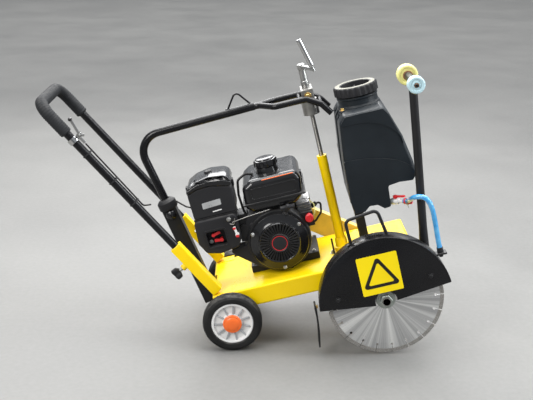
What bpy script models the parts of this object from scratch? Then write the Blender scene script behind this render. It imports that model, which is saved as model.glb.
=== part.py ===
"""Walk-behind concrete saw, one object per sub-part.

Chassis frame: u forward along the deck, v across from the blade plane, n square to
the deck, origin on the rear axle. The frame is pitched nose up and stands on the floor.
"""
import math

import bpy
import numpy as np

PITCH = math.radians(13.5)
MID = 0.24
SIDES = 20
GAP = 0.0004

REAR_WHEEL_R = 0.091
REAR_WHEEL_W = 0.045
NEAR_WHEEL_V = 0.048
FAR_WHEEL_V = 0.432
FRONT_WHEEL_R = 0.05
FRONT_WHEEL_W = 0.034
FRONT_TRACK = 0.10
FRONT_AXLE_N = -0.1336
SPINDLE_U = 0.381
BLADE_R = 0.175
BLADE_T = 0.003
ARBOR = (0.469, -0.018)
CRANKSHAFT = (0.195, 0.188)
DECK_V = (0.08, 0.40)
DECK_N = (0.020, 0.080)
DECK_U = (-0.045, 0.592)
SHEET = 0.005
TUBE_R = 0.0125
BELT_V = 0.430
ENGINE_PULLEY_R = 0.036
ARBOR_PULLEY_R = 0.045
GUARD_R = 0.200
GUARD_V = (-0.022, 0.036)
HANDLE_V = (0.10, 0.39)
SLEEVE_SIDE = 0.034
SLEEVE_FOOT = (-0.025, 0.089)
SLEEVE_LENGTH = 0.194
CLAMP_AT = 0.126
HANDLE_CORNER = (-0.388, 0.776)
COLUMN_FOOT = (-0.068, 0.012)
COLUMN_TOP = (-0.124, 0.345)
ARM_BEND = (-0.168, 0.585)
ARM_END = (0.215, 0.597)
POINTER_PIVOT = (0.6185, 0.082)
POINTER_TOP = (0.682, 0.5955)
POINTER_V = 0.0665
VALVE = (0.556, 0.232)
VALVE_V = 0.135
VALVE_AXIS = (0.8, -0.6, 0.0)
TANK_HALF = 0.125
HOSE_END = (0.6585, 0.016, 0.0965)
HOSE_MIDDLE = (0.6235, 0.030, 0.262)
FUEL_CAP = (0.207, 0.215)

PAINTS = {
    "yellow_paint": ((0.90, 0.56, 0.01), 0.35, 0.0),
    "black_paint": ((0.012, 0.012, 0.013), 0.4, 0.0),
    "black_plastic": ((0.02, 0.021, 0.023), 0.5, 0.0),
    "gloss_plastic": ((0.012, 0.012, 0.013), 0.2, 0.0),
    "tank_plastic": ((0.028, 0.031, 0.034), 0.55, 0.0),
    "rubber": ((0.018, 0.018, 0.018), 0.85, 0.0),
    "grip_rubber": ((0.03, 0.03, 0.032), 0.7, 0.0),
    "bare_steel": ((0.45, 0.44, 0.42), 0.4, 1.0),
    "zinc": ((0.62, 0.62, 0.60), 0.35, 1.0),
    "blade_steel": ((0.60, 0.60, 0.60), 0.3, 1.0),
    "cast_aluminium": ((0.55, 0.55, 0.55), 0.5, 1.0),
    "white_plastic": ((0.75, 0.75, 0.74), 0.5, 0.0),
    "orange_plastic": ((0.90, 0.19, 0.03), 0.4, 0.0),
    "red_plastic": ((0.65, 0.02, 0.03), 0.4, 0.0),
    "pale_yellow": ((0.80, 0.78, 0.38), 0.45, 0.0),
    "pale_blue": ((0.55, 0.74, 0.80), 0.35, 0.0),
    "blue_hose": ((0.05, 0.35, 0.70), 0.2, 0.0),
}


def clear_scene():
    for item in list(bpy.data.objects):
        bpy.data.objects.remove(item, do_unlink=True)


def paint(name):
    found = bpy.data.materials.get(name)
    if found:
        return found
    colour, roughness, metallic = PAINTS[name]
    made = bpy.data.materials.new(name)
    made.use_nodes = True
    shader = made.node_tree.nodes["Principled BSDF"]
    shader.inputs["Base Color"].default_value = (*colour, 1.0)
    shader.inputs["Roughness"].default_value = roughness
    shader.inputs["Metallic"].default_value = metallic
    return made


def make(name, points, faces, colour, origin=(0, 0, 0), smooth=False):
    """A mesh object in the chassis frame, with its origin at the point given."""
    mesh = bpy.data.meshes.new(name)
    moved = [tuple(np.subtract(point, origin)) for point in points]
    mesh.from_pydata(moved, [], faces)
    mesh.update()
    item = bpy.data.objects.new(name, mesh)
    bpy.context.scene.collection.objects.link(item)
    item.location = origin
    item.parent = bpy.data.objects["chassis_frame"]
    mesh.materials.append(paint(colour))
    if smooth:
        shade_smooth(item)
    return item


def shade_smooth(item):
    for face in item.data.polygons:
        face.use_smooth = True


def helper(item):
    item.hide_render = True
    item.display_type = "WIRE"
    return item


def combine(item, other, operation):
    helper(other)
    step = item.modifiers.new(operation.lower() + "_" + other.name, "BOOLEAN")
    step.operation = operation
    step.solver = "EXACT"
    step.object = other
    return item


def join(item, *others):
    for other in others:
        combine(item, other, "UNION")
    return item


def cut(item, *others):
    for other in others:
        combine(item, other, "DIFFERENCE")
    return item


def soften(item, width, segments=2):
    step = item.modifiers.new("soften", "BEVEL")
    step.width = width
    step.segments = segments
    step.limit_method = "ANGLE"
    step.angle_limit = math.radians(35)
    return item


def prism(name, outline, v_from, v_to, colour, origin=(0, 0, 0), bevel=0.0):
    """An outline of (u, n) points, anticlockwise seen from -v, extruded along v."""
    count = len(outline)
    points = [(u, v_from, n) for u, n in outline] + [(u, v_to, n) for u, n in outline]
    faces = [tuple(range(count)), tuple(reversed(range(count, 2 * count)))]
    for i in range(count):
        j = (i + 1) % count
        faces.append((j, i, i + count, j + count))
    item = make(name, points, faces, colour, origin)
    return soften(item, bevel) if bevel else item


def box(name, low, high, colour, origin=(0, 0, 0), bevel=0.0):
    outline = [(low[0], low[2]), (high[0], low[2]), (high[0], high[2]), (low[0], high[2])]
    return prism(name, outline, low[1], high[1], colour, origin, bevel)


def bar(name, start, end, side, v_from, v_to, colour, bevel=0.0):
    """A flat-sided bar from start to end in the u-n plane, side thick."""
    along = np.subtract(end, start)
    along = along / np.linalg.norm(along)
    across = np.array((along[1], -along[0])) * side / 2
    outline = [tuple(np.add(start, across)), tuple(np.add(end, across))]
    outline += [tuple(np.subtract(end, across)), tuple(np.subtract(start, across))]
    return prism(name, outline, v_from, v_to, colour, bevel=bevel)


def basis(axis):
    axis = np.array(axis, float) / np.linalg.norm(axis)
    side = np.cross(axis, (0, 0, 1) if abs(axis[2]) < 0.9 else (1, 0, 0))
    side = side / np.linalg.norm(side)
    return axis, side, np.cross(axis, side)


def lathe(name, centre, axis, profile, colour, sides=SIDES, origin=None):
    """Turns (along, radius) points round an axis; radius 0 at both ends closes it."""
    axis, side, up = basis(axis)
    points = []
    rings = []
    for along, radius in profile:
        middle = np.add(centre, axis * along)
        if radius == 0:
            rings.append([len(points)])
            points.append(tuple(middle))
            continue
        rings.append(list(range(len(points), len(points) + sides)))
        for i in range(sides):
            turn = 2 * math.pi * i / sides
            points.append(tuple(middle + radius * (side * math.cos(turn) + up * math.sin(turn))))
    hollow = len(rings[0]) > 1
    pairs = list(zip(rings, rings[1:] + rings[:1])) if hollow else list(zip(rings, rings[1:]))
    faces = []
    for first, second in pairs:
        faces += ring_faces(first, second, sides)
    item = make(name, points, faces, colour, centre if origin is None else origin, True)
    item.data.set_sharp_from_angle(angle=math.radians(35))
    return item


def ring_faces(first, second, sides):
    faces = []
    for i in range(sides):
        j = (i + 1) % sides
        if len(first) == 1:
            faces.append((first[0], second[j], second[i]))
        elif len(second) == 1:
            faces.append((first[i], first[j], second[0]))
        else:
            faces.append((first[i], first[j], second[j], second[i]))
    return faces


def rod(name, start, end, radius, colour, sides=SIDES, origin=None):
    length = float(np.linalg.norm(np.subtract(end, start)))
    profile = [(0, 0), (0, radius), (length, radius), (length, 0)]
    axis = np.subtract(end, start)
    return lathe(name, start, axis, profile, colour, sides, origin)


def rounded(path, radius, steps=5):
    """The path with each inner corner replaced by an arc of this radius."""
    path = [np.array(point, float) for point in path]
    result = [path[0]]
    for before, corner, after in zip(path, path[1:], path[2:]):
        first = (before - corner) / np.linalg.norm(before - corner)
        last = (after - corner) / np.linalg.norm(after - corner)
        half = math.acos(max(-1.0, min(1.0, float(first @ last)))) / 2
        back = radius / math.tan(half)
        middle = (first + last) / np.linalg.norm(first + last)
        centre = corner + middle * radius / math.sin(half)
        start = corner + first * back - centre
        end = corner + last * back - centre
        span = math.pi - 2 * half
        for i in range(steps + 1):
            part = i / steps
            mixed = math.sin((1 - part) * span) * start + math.sin(part * span) * end
            result.append(centre + mixed / math.sin(span))
    result.append(path[-1])
    return result


def pipe(name, path, radius, colour, sides=14, origin=(0, 0, 0)):
    """A round bar swept along the path, its ends closed."""
    path = [np.array(point, float) for point in path]
    headings = [b - a for a, b in zip(path, path[1:])]
    headings = [h / np.linalg.norm(h) for h in headings]
    _, side, _ = basis(headings[0])
    points = []
    for i, point in enumerate(path):
        before = headings[max(i - 1, 0)]
        after = headings[min(i, len(headings) - 1)]
        tangent = (before + after) / np.linalg.norm(before + after)
        side = side - tangent * float(side @ tangent)
        side = side / np.linalg.norm(side)
        up = np.cross(tangent, side)
        for k in range(sides):
            turn = 2 * math.pi * k / sides
            points.append(tuple(point + radius * (side * math.cos(turn) + up * math.sin(turn))))
    faces = [tuple(reversed(range(sides)))]
    for i in range(len(path) - 1):
        first = list(range(i * sides, (i + 1) * sides))
        second = [k + sides for k in first]
        faces += ring_faces(first, second, sides)
    faces.append(tuple(range((len(path) - 1) * sides, len(path) * sides)))
    item = make(name, points, faces, colour, origin, True)
    item.data.set_sharp_from_angle(angle=math.radians(35))
    return item


def arc(centre, radius, start, end, steps):
    """Points (u, n) round a centre, the angles in degrees."""
    turns = [math.radians(start + (end - start) * i / steps) for i in range(steps + 1)]
    return [(centre[0] + radius * math.cos(t), centre[1] + radius * math.sin(t)) for t in turns]


# ---- chassis ----

def deck():
    low = (DECK_U[0], DECK_V[0], DECK_N[0])
    high = (DECK_U[1], DECK_V[1], DECK_N[1])
    pan = box("chassis_deck", low, high, "yellow_paint", bevel=0.003)
    inner_low = (low[0] + SHEET, low[1] + SHEET, low[2] - 0.02)
    inner_high = (high[0] - SHEET, high[1] - SHEET, high[2] - SHEET)
    hollow = box("deck_hollow", inner_low, inner_high, "yellow_paint")
    hole = rod("deck_hole", (SPINDLE_U, MID, 0.0), (SPINDLE_U, MID, 0.12), 0.0170, "yellow_paint")
    rear = DECK_U[0] - 0.01
    slot = box("deck_column_slot", (rear, MID - 0.023, 0.0), (DECK_U[0] + 0.01, MID + 0.023, 0.1),
               "yellow_paint")
    pan = cut(pan, hollow, hole, slot)
    brackets = [axle_bracket("near_axle_bracket", 0.0846), axle_bracket("far_axle_bracket", 0.3954)]
    return join(pan, leg_socket(), tank_post(), pointer_bracket(), *brackets)


def leg_socket():
    profile = [(0, 0.026), (0.012, 0.026), (0.014, 0.020), (0.041, 0.0185), (0.041, 0.0160), (0, 0.0160)]
    base = (SPINDLE_U, MID, DECK_N[1] - 0.003)
    return lathe("leg_socket", base, (0, 0, 1), profile, "yellow_paint")


def sleeve(name, v):
    """A square tube that takes one leg of the handle, with the boss of its clamp screw."""
    half = SLEEVE_SIDE / 2
    top = leg_point(SLEEVE_LENGTH)
    body = bar(name, SLEEVE_FOOT, top, SLEEVE_SIDE, v - half, v + half, "yellow_paint", 0.002)
    ends = (uvn(leg_point(0.03), v), uvn(leg_point(SLEEVE_LENGTH + 0.02), v))
    hole = rod(name + "_bore", *ends, TUBE_R + 0.0008, "yellow_paint")
    boss_ends = (uvn(leg_point(CLAMP_AT, TUBE_R + 0.002), v), uvn(leg_point(CLAMP_AT, half + 0.014), v))
    boss = rod(name + "_boss", *boss_ends, 0.010, "yellow_paint", 16)
    thread_ends = (uvn(leg_point(CLAMP_AT), v), uvn(leg_point(CLAMP_AT, 0.06), v))
    thread = rod(name + "_thread", *thread_ends, 0.0048, "yellow_paint", 12)
    low, high = (-0.2, v - 0.1, -0.1), (0.2, v + 0.1, DECK_N[1] + GAP)
    return cut(join(body, boss), hole, thread, box(name + "_foot", low, high, "yellow_paint"))


def leg_point(distance, rearward=0.0):
    """(u, n) this far up the handle's leg from the sleeve's foot, and this far behind it."""
    along, back = handle_directions()
    return np.add(SLEEVE_FOOT, along * distance + back * rearward)


def uvn(point, v):
    return (float(point[0]), float(v), float(point[1]))


def handle_directions():
    """Unit (u, n) vectors up along the handle's legs, and square to them towards the rear."""
    along = np.subtract(HANDLE_CORNER, SLEEVE_FOOT)
    along = along / np.linalg.norm(along)
    return along, np.array((-along[1], along[0]))


def star_knob(name, v):
    """The clamp screw of a sleeve: its thread stops 1 mm short of the leg."""
    _, back = handle_directions()
    start = leg_point(CLAMP_AT, TUBE_R + 0.0008)
    profile = [(0, 0), (0, 0.0044), (0.030, 0.0044), (0.030, 0.010), (0.052, 0.010), (0.052, 0)]
    axis = (float(back[0]), 0, float(back[1]))
    core = lathe(name, uvn(start, v), axis, profile, "black_plastic", 16)
    middle = leg_point(CLAMP_AT, TUBE_R + 0.0418)
    for i in range(3):
        core = join(core, knob_lobe(f"{name}_lobe{i}", uvn(middle, v), axis, i * math.pi / 3))
    return core


def knob_lobe(name, centre, axis, turn):
    """A flat bar across the knob: two opposite lobes."""
    axis, side, up = basis(axis)
    arm = side * math.cos(turn) + up * math.sin(turn)
    across = np.cross(axis, arm)
    thick = 0.0080 + 0.0004 * turn
    points = []
    for a in (-1, 1):
        for b, c in ((-1, -1), (1, -1), (1, 1), (-1, 1)):
            offset = axis * thick * a + arm * 0.021 * b + across * 0.0052 * c
            points.append(tuple(np.add(centre, offset)))
    faces = [(3, 2, 1, 0), (4, 5, 6, 7), (0, 1, 5, 4), (1, 2, 6, 5), (2, 3, 7, 6), (3, 0, 4, 7)]
    return soften(make(name, points, faces, "black_plastic"), 0.002, 1)


def axle_bracket(name, v):
    top = DECK_N[0] + 0.010
    outline = [(-0.012, -0.012), (0.012, -0.012), (0.03, DECK_N[0]), (0.03, top), (-0.03, top),
               (-0.03, DECK_N[0])]
    plate = prism(name, outline, v - 0.004, v + 0.004, "yellow_paint")
    return cut(plate, rod(name + "_hole", (0, v - 0.02, 0), (0, v + 0.02, 0), 0.0094, "yellow_paint"))


def rear_axle():
    start = NEAR_WHEEL_V - 0.022
    length = FAR_WHEEL_V + 0.022 - start
    return rod("rear_axle", (0, start, 0), (0, start + length, 0), 0.009, "zinc", 20)


def rear_wheel(prefix, v, out):
    """Tyre, spoked disc and cap of a rear wheel; out is the side its cap faces."""
    half = REAR_WHEEL_W / 2
    tyre = [(-half, 0.0645), (-half, 0.080), (-0.8 * half, 0.088), (-0.4 * half, REAR_WHEEL_R)]
    tyre += [(0.4 * half, REAR_WHEEL_R), (0.8 * half, 0.088), (half, 0.080), (half, 0.0645)]
    lathe(prefix + "_tyre", (0, v, 0), (0, 1, 0), tyre, "rubber", 32)
    side = out * half
    disc = [(-0.6 * side, 0.0098), (-0.6 * side, 0.0640), (0.85 * side, 0.0640), (0.85 * side, 0.055)]
    disc += [(0.65 * side, 0.052), (0.65 * side, 0.024), (0.75 * side, 0.022), (0.75 * side, 0.0098)]
    if out < 0:
        disc = disc[::-1]
    hub = lathe(prefix + "_hub", (0, v, 0), (0, 1, 0), disc, "white_plastic", 30)
    for i in range(11):
        hub = join(hub, wheel_rib(f"{prefix}_rib{i}", v, side, 2 * math.pi * i / 11))
    cap = [(0, 0), (0, 0.027), (0.005, 0.029), (0.009, 0.024), (0.011, 0.012), (0.012, 0)]
    centre = (0, v + out * (half + 0.0006), 0)
    lathe(prefix + "_cap", centre, (0, out, 0), cap, "orange_plastic", 28, (0, v, 0))


def wheel_rib(name, v, side, turn):
    inner, outer, half = 0.020, 0.056, 0.0014
    lines = []
    for radius, offset in ((inner, -half), (outer, -half), (outer, half), (inner, half)):
        u = radius * math.cos(turn) - offset * math.sin(turn)
        n = radius * math.sin(turn) + offset * math.cos(turn)
        lines.append((u, n))
    ends = sorted((v + 0.5 * side, v + 0.8 * side))
    return prism(name, lines, ends[0], ends[1], "white_plastic")


# ---- column and upper arm ----

def column():
    half = 0.020
    post = bar("rear_column", COLUMN_FOOT, COLUMN_TOP, 0.046, MID - half, MID + half, "black_paint",
               0.003)
    bolt_at = np.add(COLUMN_TOP, (0.004, -0.02))
    start = (bolt_at[0], MID - half + 0.004, bolt_at[1])
    profile = [(0, 0), (0, 0.016), (0.008, 0.016), (0.014, 0.011), (0.017, 0)]
    bolt = lathe("column_bolt", start, (0, -1, 0), profile, "black_paint", 20)
    return join(post, bolt, column_collar())


def column_collar():
    start, end = column_line(-0.003), column_line(0.034)
    axis = np.subtract(end, start)
    profile = [(0, 0), (0, 0.028), (0.004, 0.030), (0.024, 0.030), (0.028, 0.026), (0.028, 0)]
    ring = lathe("column_collar", start, axis, profile, "black_plastic", 24)
    arm_start, arm_end = column_line(0.010), column_line(0.08)
    return cut(ring, rod("collar_seat", arm_start, arm_end, TUBE_R + GAP, "black_plastic", 24))


def column_line(distance):
    """A point this far above the column's top, along its lean."""
    along = np.subtract(COLUMN_TOP, COLUMN_FOOT)
    along = along / np.linalg.norm(along)
    return uvn(np.add(COLUMN_TOP, along * distance), MID)


def upper_arm():
    """The bent tube from the column to the spindle, with the loop that holds the spindle block."""
    spread = 0.052
    path = rounded([column_line(0.0165), uvn(ARM_BEND, MID), uvn(ARM_END, MID)], 0.065, 6)
    arm = pipe("upper_arm", path, TUBE_R, "black_paint", 12)
    for side in (-1, 1):
        v = MID + side * spread
        start = MID + side * 0.003
        corners = [(0.188, start, 0.5950), (0.228, start, 0.596), (0.275, v, 0.590), (0.375, v, 0.590)]
        corners += [(0.415, v, 0.566), (0.4385, v, 0.532)]
        arm = join(arm, pipe(f"loop{side}", rounded(corners, 0.025, 3), 0.0095, "black_paint", 10))
    for number, (u, n) in enumerate(((0.353, 0.589), (0.4140, 0.566))):
        ends = ((u, MID - spread, n), (u, MID + spread, n))
        arm = join(arm, rod(f"loop_bar{number}", *ends, 0.006, "black_paint", 12))
    return join(arm, wire_hook())


def wire_hook():
    path = [(0.129, MID, 0.6000), (0.168, MID, 0.655), (0.209, MID, 0.6010)]
    return pipe("wire_hook", rounded(path, 0.012, 4), 0.003, "black_paint", 10)


def spindle_block():
    low = (SPINDLE_U - 0.019, MID - 0.040, 0.577)
    high = (SPINDLE_U + 0.019, MID + 0.040, 0.617)
    block = box("spindle_block", low, high, "bare_steel", bevel=0.003)
    hole = rod("block_bore", (SPINDLE_U, MID, 0.50), (SPINDLE_U, MID, 0.65), 0.0085, "bare_steel")
    nut = rod("block_nut", (SPINDLE_U, MID - 0.036, 0.597), (SPINDLE_U, MID - 0.0420, 0.597), 0.007,
              "bare_steel", 6)
    boss = rod("block_boss", (SPINDLE_U, MID, 0.532), (SPINDLE_U, MID, 0.579), 0.025, "bare_steel", 24)
    block = join(block, nut, boss)
    return cut(block, hole)


# ---- depth screw, leg and front wheels ----

def crank():
    """Screw, hub and arm in one body that turns on the spindle axis."""
    axis_at = (SPINDLE_U, MID, 0.0)
    profile = [(0.300, 0), (0.300, 0.0072), (0.6175, 0.0072), (0.6175, 0.0125), (0.688, 0.0125)]
    profile += [(0.691, 0.009), (0.691, 0)]
    screw = lathe("depth_screw", axis_at, (0, 0, 1), profile, "bare_steel", 20)
    tip = crank_tip(0.0)
    arm = pipe("crank_arm", [(SPINDLE_U, MID, 0.680), tip], 0.0065, "zinc", 12)
    pin = rod("crank_pin", crank_tip(-0.008), crank_tip(0.092), 0.0040, "zinc", 12)
    return join(screw, arm, pin)


def crank_tip(distance):
    """A point along the crank's grip, measured from the arm."""
    start = np.array((0.414, MID - 0.060, 0.676))
    lean = np.array((-0.242, 0.0, 0.970))
    return tuple(start + lean * distance)


def crank_grip():
    profile = [(0, 0.0046), (0, 0.0080), (0.088, 0.0080), (0.090, 0.0074), (0.090, 0.0046)]
    start = crank_tip(0.0085)
    lean = np.subtract(crank_tip(1.0), crank_tip(0.0))
    return lathe("crank_grip", start, lean, profile, "zinc", 18)


def leg_tube():
    """The yellow tube that slides in its socket and carries the front axle."""
    top, foot = 0.397, FRONT_AXLE_N
    profile = [(foot - 0.012, 0), (foot - 0.012, 0.0150), (top, 0.0150), (top, 0.0078)]
    profile += [(0.155, 0.0078), (0.155, 0)]
    tube = lathe("leg_tube", (SPINDLE_U, MID, 0), (0, 0, 1), profile, "yellow_paint", 24)
    return join(tube, front_axle())


def front_axle():
    reach = FRONT_TRACK + FRONT_WHEEL_W / 2 + 0.006
    centre = (SPINDLE_U, MID, FRONT_AXLE_N)
    profile = [(-reach, 0), (-reach, 0.0068), (reach, 0.0068), (reach, 0)]
    return lathe("front_axle", centre, (0, 1, 0), profile, "zinc", 20)


def front_wheel(name, v):
    half = FRONT_WHEEL_W / 2
    profile = [(-half, 0.0074), (-half, 0.018), (-0.7 * half, 0.020), (-0.7 * half, 0.038)]
    profile += [(-0.95 * half, 0.042), (-0.5 * half, FRONT_WHEEL_R), (0.5 * half, FRONT_WHEEL_R)]
    profile += [(0.95 * half, 0.042), (0.7 * half, 0.038), (0.7 * half, 0.020), (half, 0.018),
                (half, 0.0074)]
    return lathe(name, (SPINDLE_U, v, FRONT_AXLE_N), (0, 1, 0), profile, "rubber", 24)


# ---- engine ----

def crankcase():
    u, n = CRANKSHAFT
    foot = box("engine_crankcase", (0.085, 0.2004, DECK_N[1] + GAP), (0.305, 0.365, 0.104),
               "black_plastic", bevel=0.003)
    body = box("case_body", (0.110, 0.2005, 0.095), (0.268, 0.345, 0.270), "black_plastic", bevel=0.012)
    boss = rod("case_boss", (u, 0.34, n), (u, 0.372, n), 0.032, "black_plastic", 24)
    hole = rod("case_hole", (u, 0.30, n), (u, 0.39, n), 0.0100, "black_plastic", 20)
    return cut(join(foot, body, boss), hole)


def fan_housing():
    u, n = CRANKSHAFT
    shell = rod("fan_housing", (u, 0.142, n), (u, 0.200, n), 0.100, "black_plastic", 36)
    skirt = [(0.030, 0.1930), (0.061, 0.163), (0.119, 0.115), (0.160, 0.096), (0.215, 0.087)]
    skirt += [(0.250, 0.110), (0.250, 0.180), (0.180, 0.262), (0.114, 0.262), (0.112, 0.206)]
    skirt += [(0.094, 0.200), (0.088, 0.1930)]
    lower = prism("fan_skirt", skirt, 0.146, 0.198, "black_plastic", bevel=0.004)
    seat = box("switch_seat", (0.262, 0.161, 0.205), (0.314, 0.166, 0.252), "black_plastic", bevel=0.002)
    return join(shell, lower, seat)


def recoil_cover():
    u, n = CRANKSHAFT
    profile = [(0, 0), (0, 0.092), (0.010, 0.092), (0.014, 0.088), (0.018, 0.068), (0.020, 0.064)]
    profile += [(0.024, 0.062), (0.026, 0.026), (0.029, 0.024), (0.029, 0)]
    cover = lathe("recoil_cover", (u, 0.142 - GAP, n), (0, -1, 0), profile, "gloss_plastic", 32)
    for i in range(12):
        cover = cut(cover, recoil_slot(f"recoil_slot{i}", 2 * math.pi * i / 12))
    return cover


def recoil_slot(name, turn):
    u, n = CRANKSHAFT
    corners = []
    for radius, half in ((0.031, -0.0014), (0.056, -0.0026), (0.056, 0.0026), (0.031, 0.0014)):
        across = radius * math.sin(turn) + half * math.cos(turn)
        corners.append((u + radius * math.cos(turn) - half * math.sin(turn), n + across))
    return prism(name, corners, 0.105, 0.121, "gloss_plastic")


def starter_grip():
    """The pull handle at the top of the recoil, on a short end of rope."""
    start = (0.236, 0.128, 0.276)
    lean = (0.35, -0.50, 0.79)
    profile = [(0, 0), (0, 0.0022), (0.010, 0.0022), (0.010, 0.006), (0.016, 0.008), (0.030, 0.008)]
    profile += [(0.034, 0.005), (0.034, 0)]
    body = lathe("starter_grip", start, lean, profile, "black_plastic", 16)
    bar_at = np.add(start, np.array(lean) / np.linalg.norm(lean) * 0.024)
    ends = (tuple(bar_at - (0.022, 0, 0)), tuple(bar_at + (0.022, 0, 0)))
    return join(body, rod("starter_bar", *ends, 0.0065, "black_plastic", 14))


def air_cleaner():
    outline = [(-0.042, 0.316), (0.092, 0.316), (0.094, 0.3995), (0.030, 0.4135), (-0.010, 0.4115),
               (-0.044, 0.400)]
    prism("air_cleaner_body", outline, 0.125, 0.238, "black_plastic", bevel=0.006)
    top = [(-0.044, 0.4010), (-0.010, 0.4125), (0.030, 0.4145), (0.094, 0.4005), (0.096, 0.424)]
    top += [(0.080, 0.437), (0.035, 0.442), (-0.010, 0.434), (-0.041, 0.418)]
    prism("air_cleaner_cover", top, 0.122, 0.240, "gloss_plastic", bevel=0.007)


def control_box():
    outline = [(-0.046, 0.3125), (-0.048, 0.240), (-0.030, 0.206), (0.012, 0.196), (0.072, 0.204)]
    outline += [(0.086, 0.232), (0.086, 0.3125)]
    body = prism("control_box", outline, 0.120, 0.240, "black_plastic", bevel=0.006)
    recess = box("control_recess", (-0.018, 0.10, 0.222), (0.040, 0.150, 0.272), "black_plastic")
    return cut(body, recess)


def control_levers():
    """Choke and fuel levers in the recess, each turning on a pin set in its floor."""
    for name, pivot, tip in (("choke_lever", (0.002, 0.256), (0.024, 0.262)),
                             ("fuel_lever", (0.024, 0.236), (0.002, 0.238))):
        at = uvn(pivot, 0.1300)
        hub = rod(name, at, (pivot[0], 0.1494, pivot[1]), 0.0055, "red_plastic", 16)
        paddle = bar(name + "_paddle", pivot, tip, 0.008, 0.1302, 0.1370, "red_plastic")
        join(hub, paddle)


def engine_throttle():
    pivot = (0.076, 0.248)
    at = uvn(pivot, 0.1075)
    hub = rod("engine_throttle_lever", at, (pivot[0], 0.1196, pivot[1]), 0.006, "white_plastic", 16)
    arm = bar("throttle_paddle", pivot, (0.072, 0.274), 0.007, 0.1077, 0.1130, "white_plastic")
    return join(hub, arm)


def fuel_tank():
    outline = [(0.118, 0.312), (0.140, 0.295), (0.270, 0.293), (0.296, 0.312), (0.304, 0.372)]
    outline += [(0.292, 0.398), (0.150, 0.396), (0.122, 0.378)]
    tank = prism("fuel_tank", outline, 0.130, 0.345, "gloss_plastic", bevel=0.013)
    low, high = (0.112, 0.124, 0.3225), (0.309, 0.351, 0.3275)
    seam = box("tank_seam", low, high, "gloss_plastic", bevel=0.002)
    u, v = FUEL_CAP
    neck = rod("fuel_neck", (u, v, 0.390), (u, v, 0.4115), 0.024, "gloss_plastic", 24)
    mouth = rod("fuel_mouth", (u, v, 0.385), (u, v, 0.430), 0.0175, "gloss_plastic", 24)
    return cut(join(tank, seam, neck), mouth)


def fuel_cap():
    base = (*FUEL_CAP, 0.4120)
    top = [(-0.015, 0), (-0.015, 0.0165), (0, 0.0165), (0, 0.030), (0.004, 0.033), (0.018, 0.033)]
    top += [(0.023, 0.028), (0.025, 0.010), (0.025, 0)]
    cap = lathe("fuel_cap", base, (0, 0, 1), top, "gloss_plastic", 24)
    for i in range(8):
        turn = 2 * math.pi * i / 8
        at = (FUEL_CAP[0] + 0.033 * math.cos(turn), FUEL_CAP[1] + 0.033 * math.sin(turn), 0.4155)
        cap = join(cap, rod(f"fuel_grip{i}", at, tuple(np.add(at, (0, 0, 0.012))), 0.004,
                            "gloss_plastic", 10))
    return cap


def cylinder_head():
    core = box("cylinder_head", (0.2685, 0.208, 0.205), (0.306, 0.300, 0.2755), "cast_aluminium",
               bevel=0.004)
    for i in range(5):
        n = 0.211 + 0.0135 * i
        fin = box(f"head_fin{i}", (0.2690, 0.2005, n), (0.312, 0.307, n + 0.0045), "cast_aluminium")
        core = join(core, fin)
    plug = rod("spark_plug", (0.300, 0.215, 0.258), (0.324, 0.205, 0.270), 0.006, "cast_aluminium", 12)
    return join(core, plug)


def muffler():
    shell = box("muffler", (0.180, 0.3485, 0.225), (0.285, 0.4020, 0.292), "black_paint", bevel=0.014)
    pipe_out = rod("muffler_pipe", (0.195, 0.395, 0.25), (0.195, 0.412, 0.25), 0.008, "black_paint", 16)
    return join(shell, pipe_out)


def stop_switch():
    at = (0.301, 0.1605, 0.238)
    profile = [(0, 0), (0, 0.010), (0.016, 0.010), (0.016, 0.013), (0.024, 0.013), (0.026, 0.010),
               (0.026, 0)]
    knob = lathe("stop_switch", at, (0, -1, 0), profile, "red_plastic", 18)
    u, v, n = at
    rib = box("switch_rib", (u - 0.003, v - 0.031, n - 0.010), (u + 0.003, v - 0.024, n + 0.010),
              "red_plastic")
    return join(knob, rib)


# ---- belt drive and blade ----

def pulley(name, centre, radius, shaft_from, shaft_to, shaft_r, colour):
    """A grooved pulley in the belt plane, on its own length of shaft."""
    half, groove = 0.011, 0.004
    u, n = centre
    profile = [(shaft_from, 0), (shaft_from, shaft_r), (BELT_V - half, shaft_r), (BELT_V - half, radius)]
    profile += [(BELT_V - 0.6 * half, radius), (BELT_V - 0.4 * half, radius - groove)]
    profile += [(BELT_V + 0.4 * half, radius - groove), (BELT_V + 0.6 * half, radius)]
    profile += [(BELT_V + half, radius), (BELT_V + half, shaft_r)]
    if shaft_to > BELT_V + half:
        profile += [(shaft_to, shaft_r)]
    profile += [(max(shaft_to, BELT_V + half), 0)]
    return lathe(name, (u, 0, n), (0, 1, 0), profile, colour, 24)


def drive_belt():
    """A flat-sided loop that lies just over both pulleys' grooves."""
    first, second = np.array(CRANKSHAFT), np.array(ARBOR)
    apart = float(np.linalg.norm(second - first))
    heading = math.degrees(math.atan2(*(second - first)[::-1]))
    lean = math.degrees(math.asin((ARBOR_PULLEY_R - ENGINE_PULLEY_R) / apart))
    outlines = []
    for lift in (0.0006, 0.0080):
        near = arc(first, ENGINE_PULLEY_R + lift, heading + 90 + lean, heading + 270 - lean, 14)
        far = arc(second, ARBOR_PULLEY_R + lift, heading - 90 - lean, heading + 90 + lean, 14)
        outlines.append(near + far)
    half = 0.0055
    outer = prism("drive_belt", outlines[1], BELT_V - half, BELT_V + half, "rubber")
    inner = prism("belt_inside", outlines[0], BELT_V - 0.02, BELT_V + 0.02, "rubber")
    return cut(outer, inner)


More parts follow.
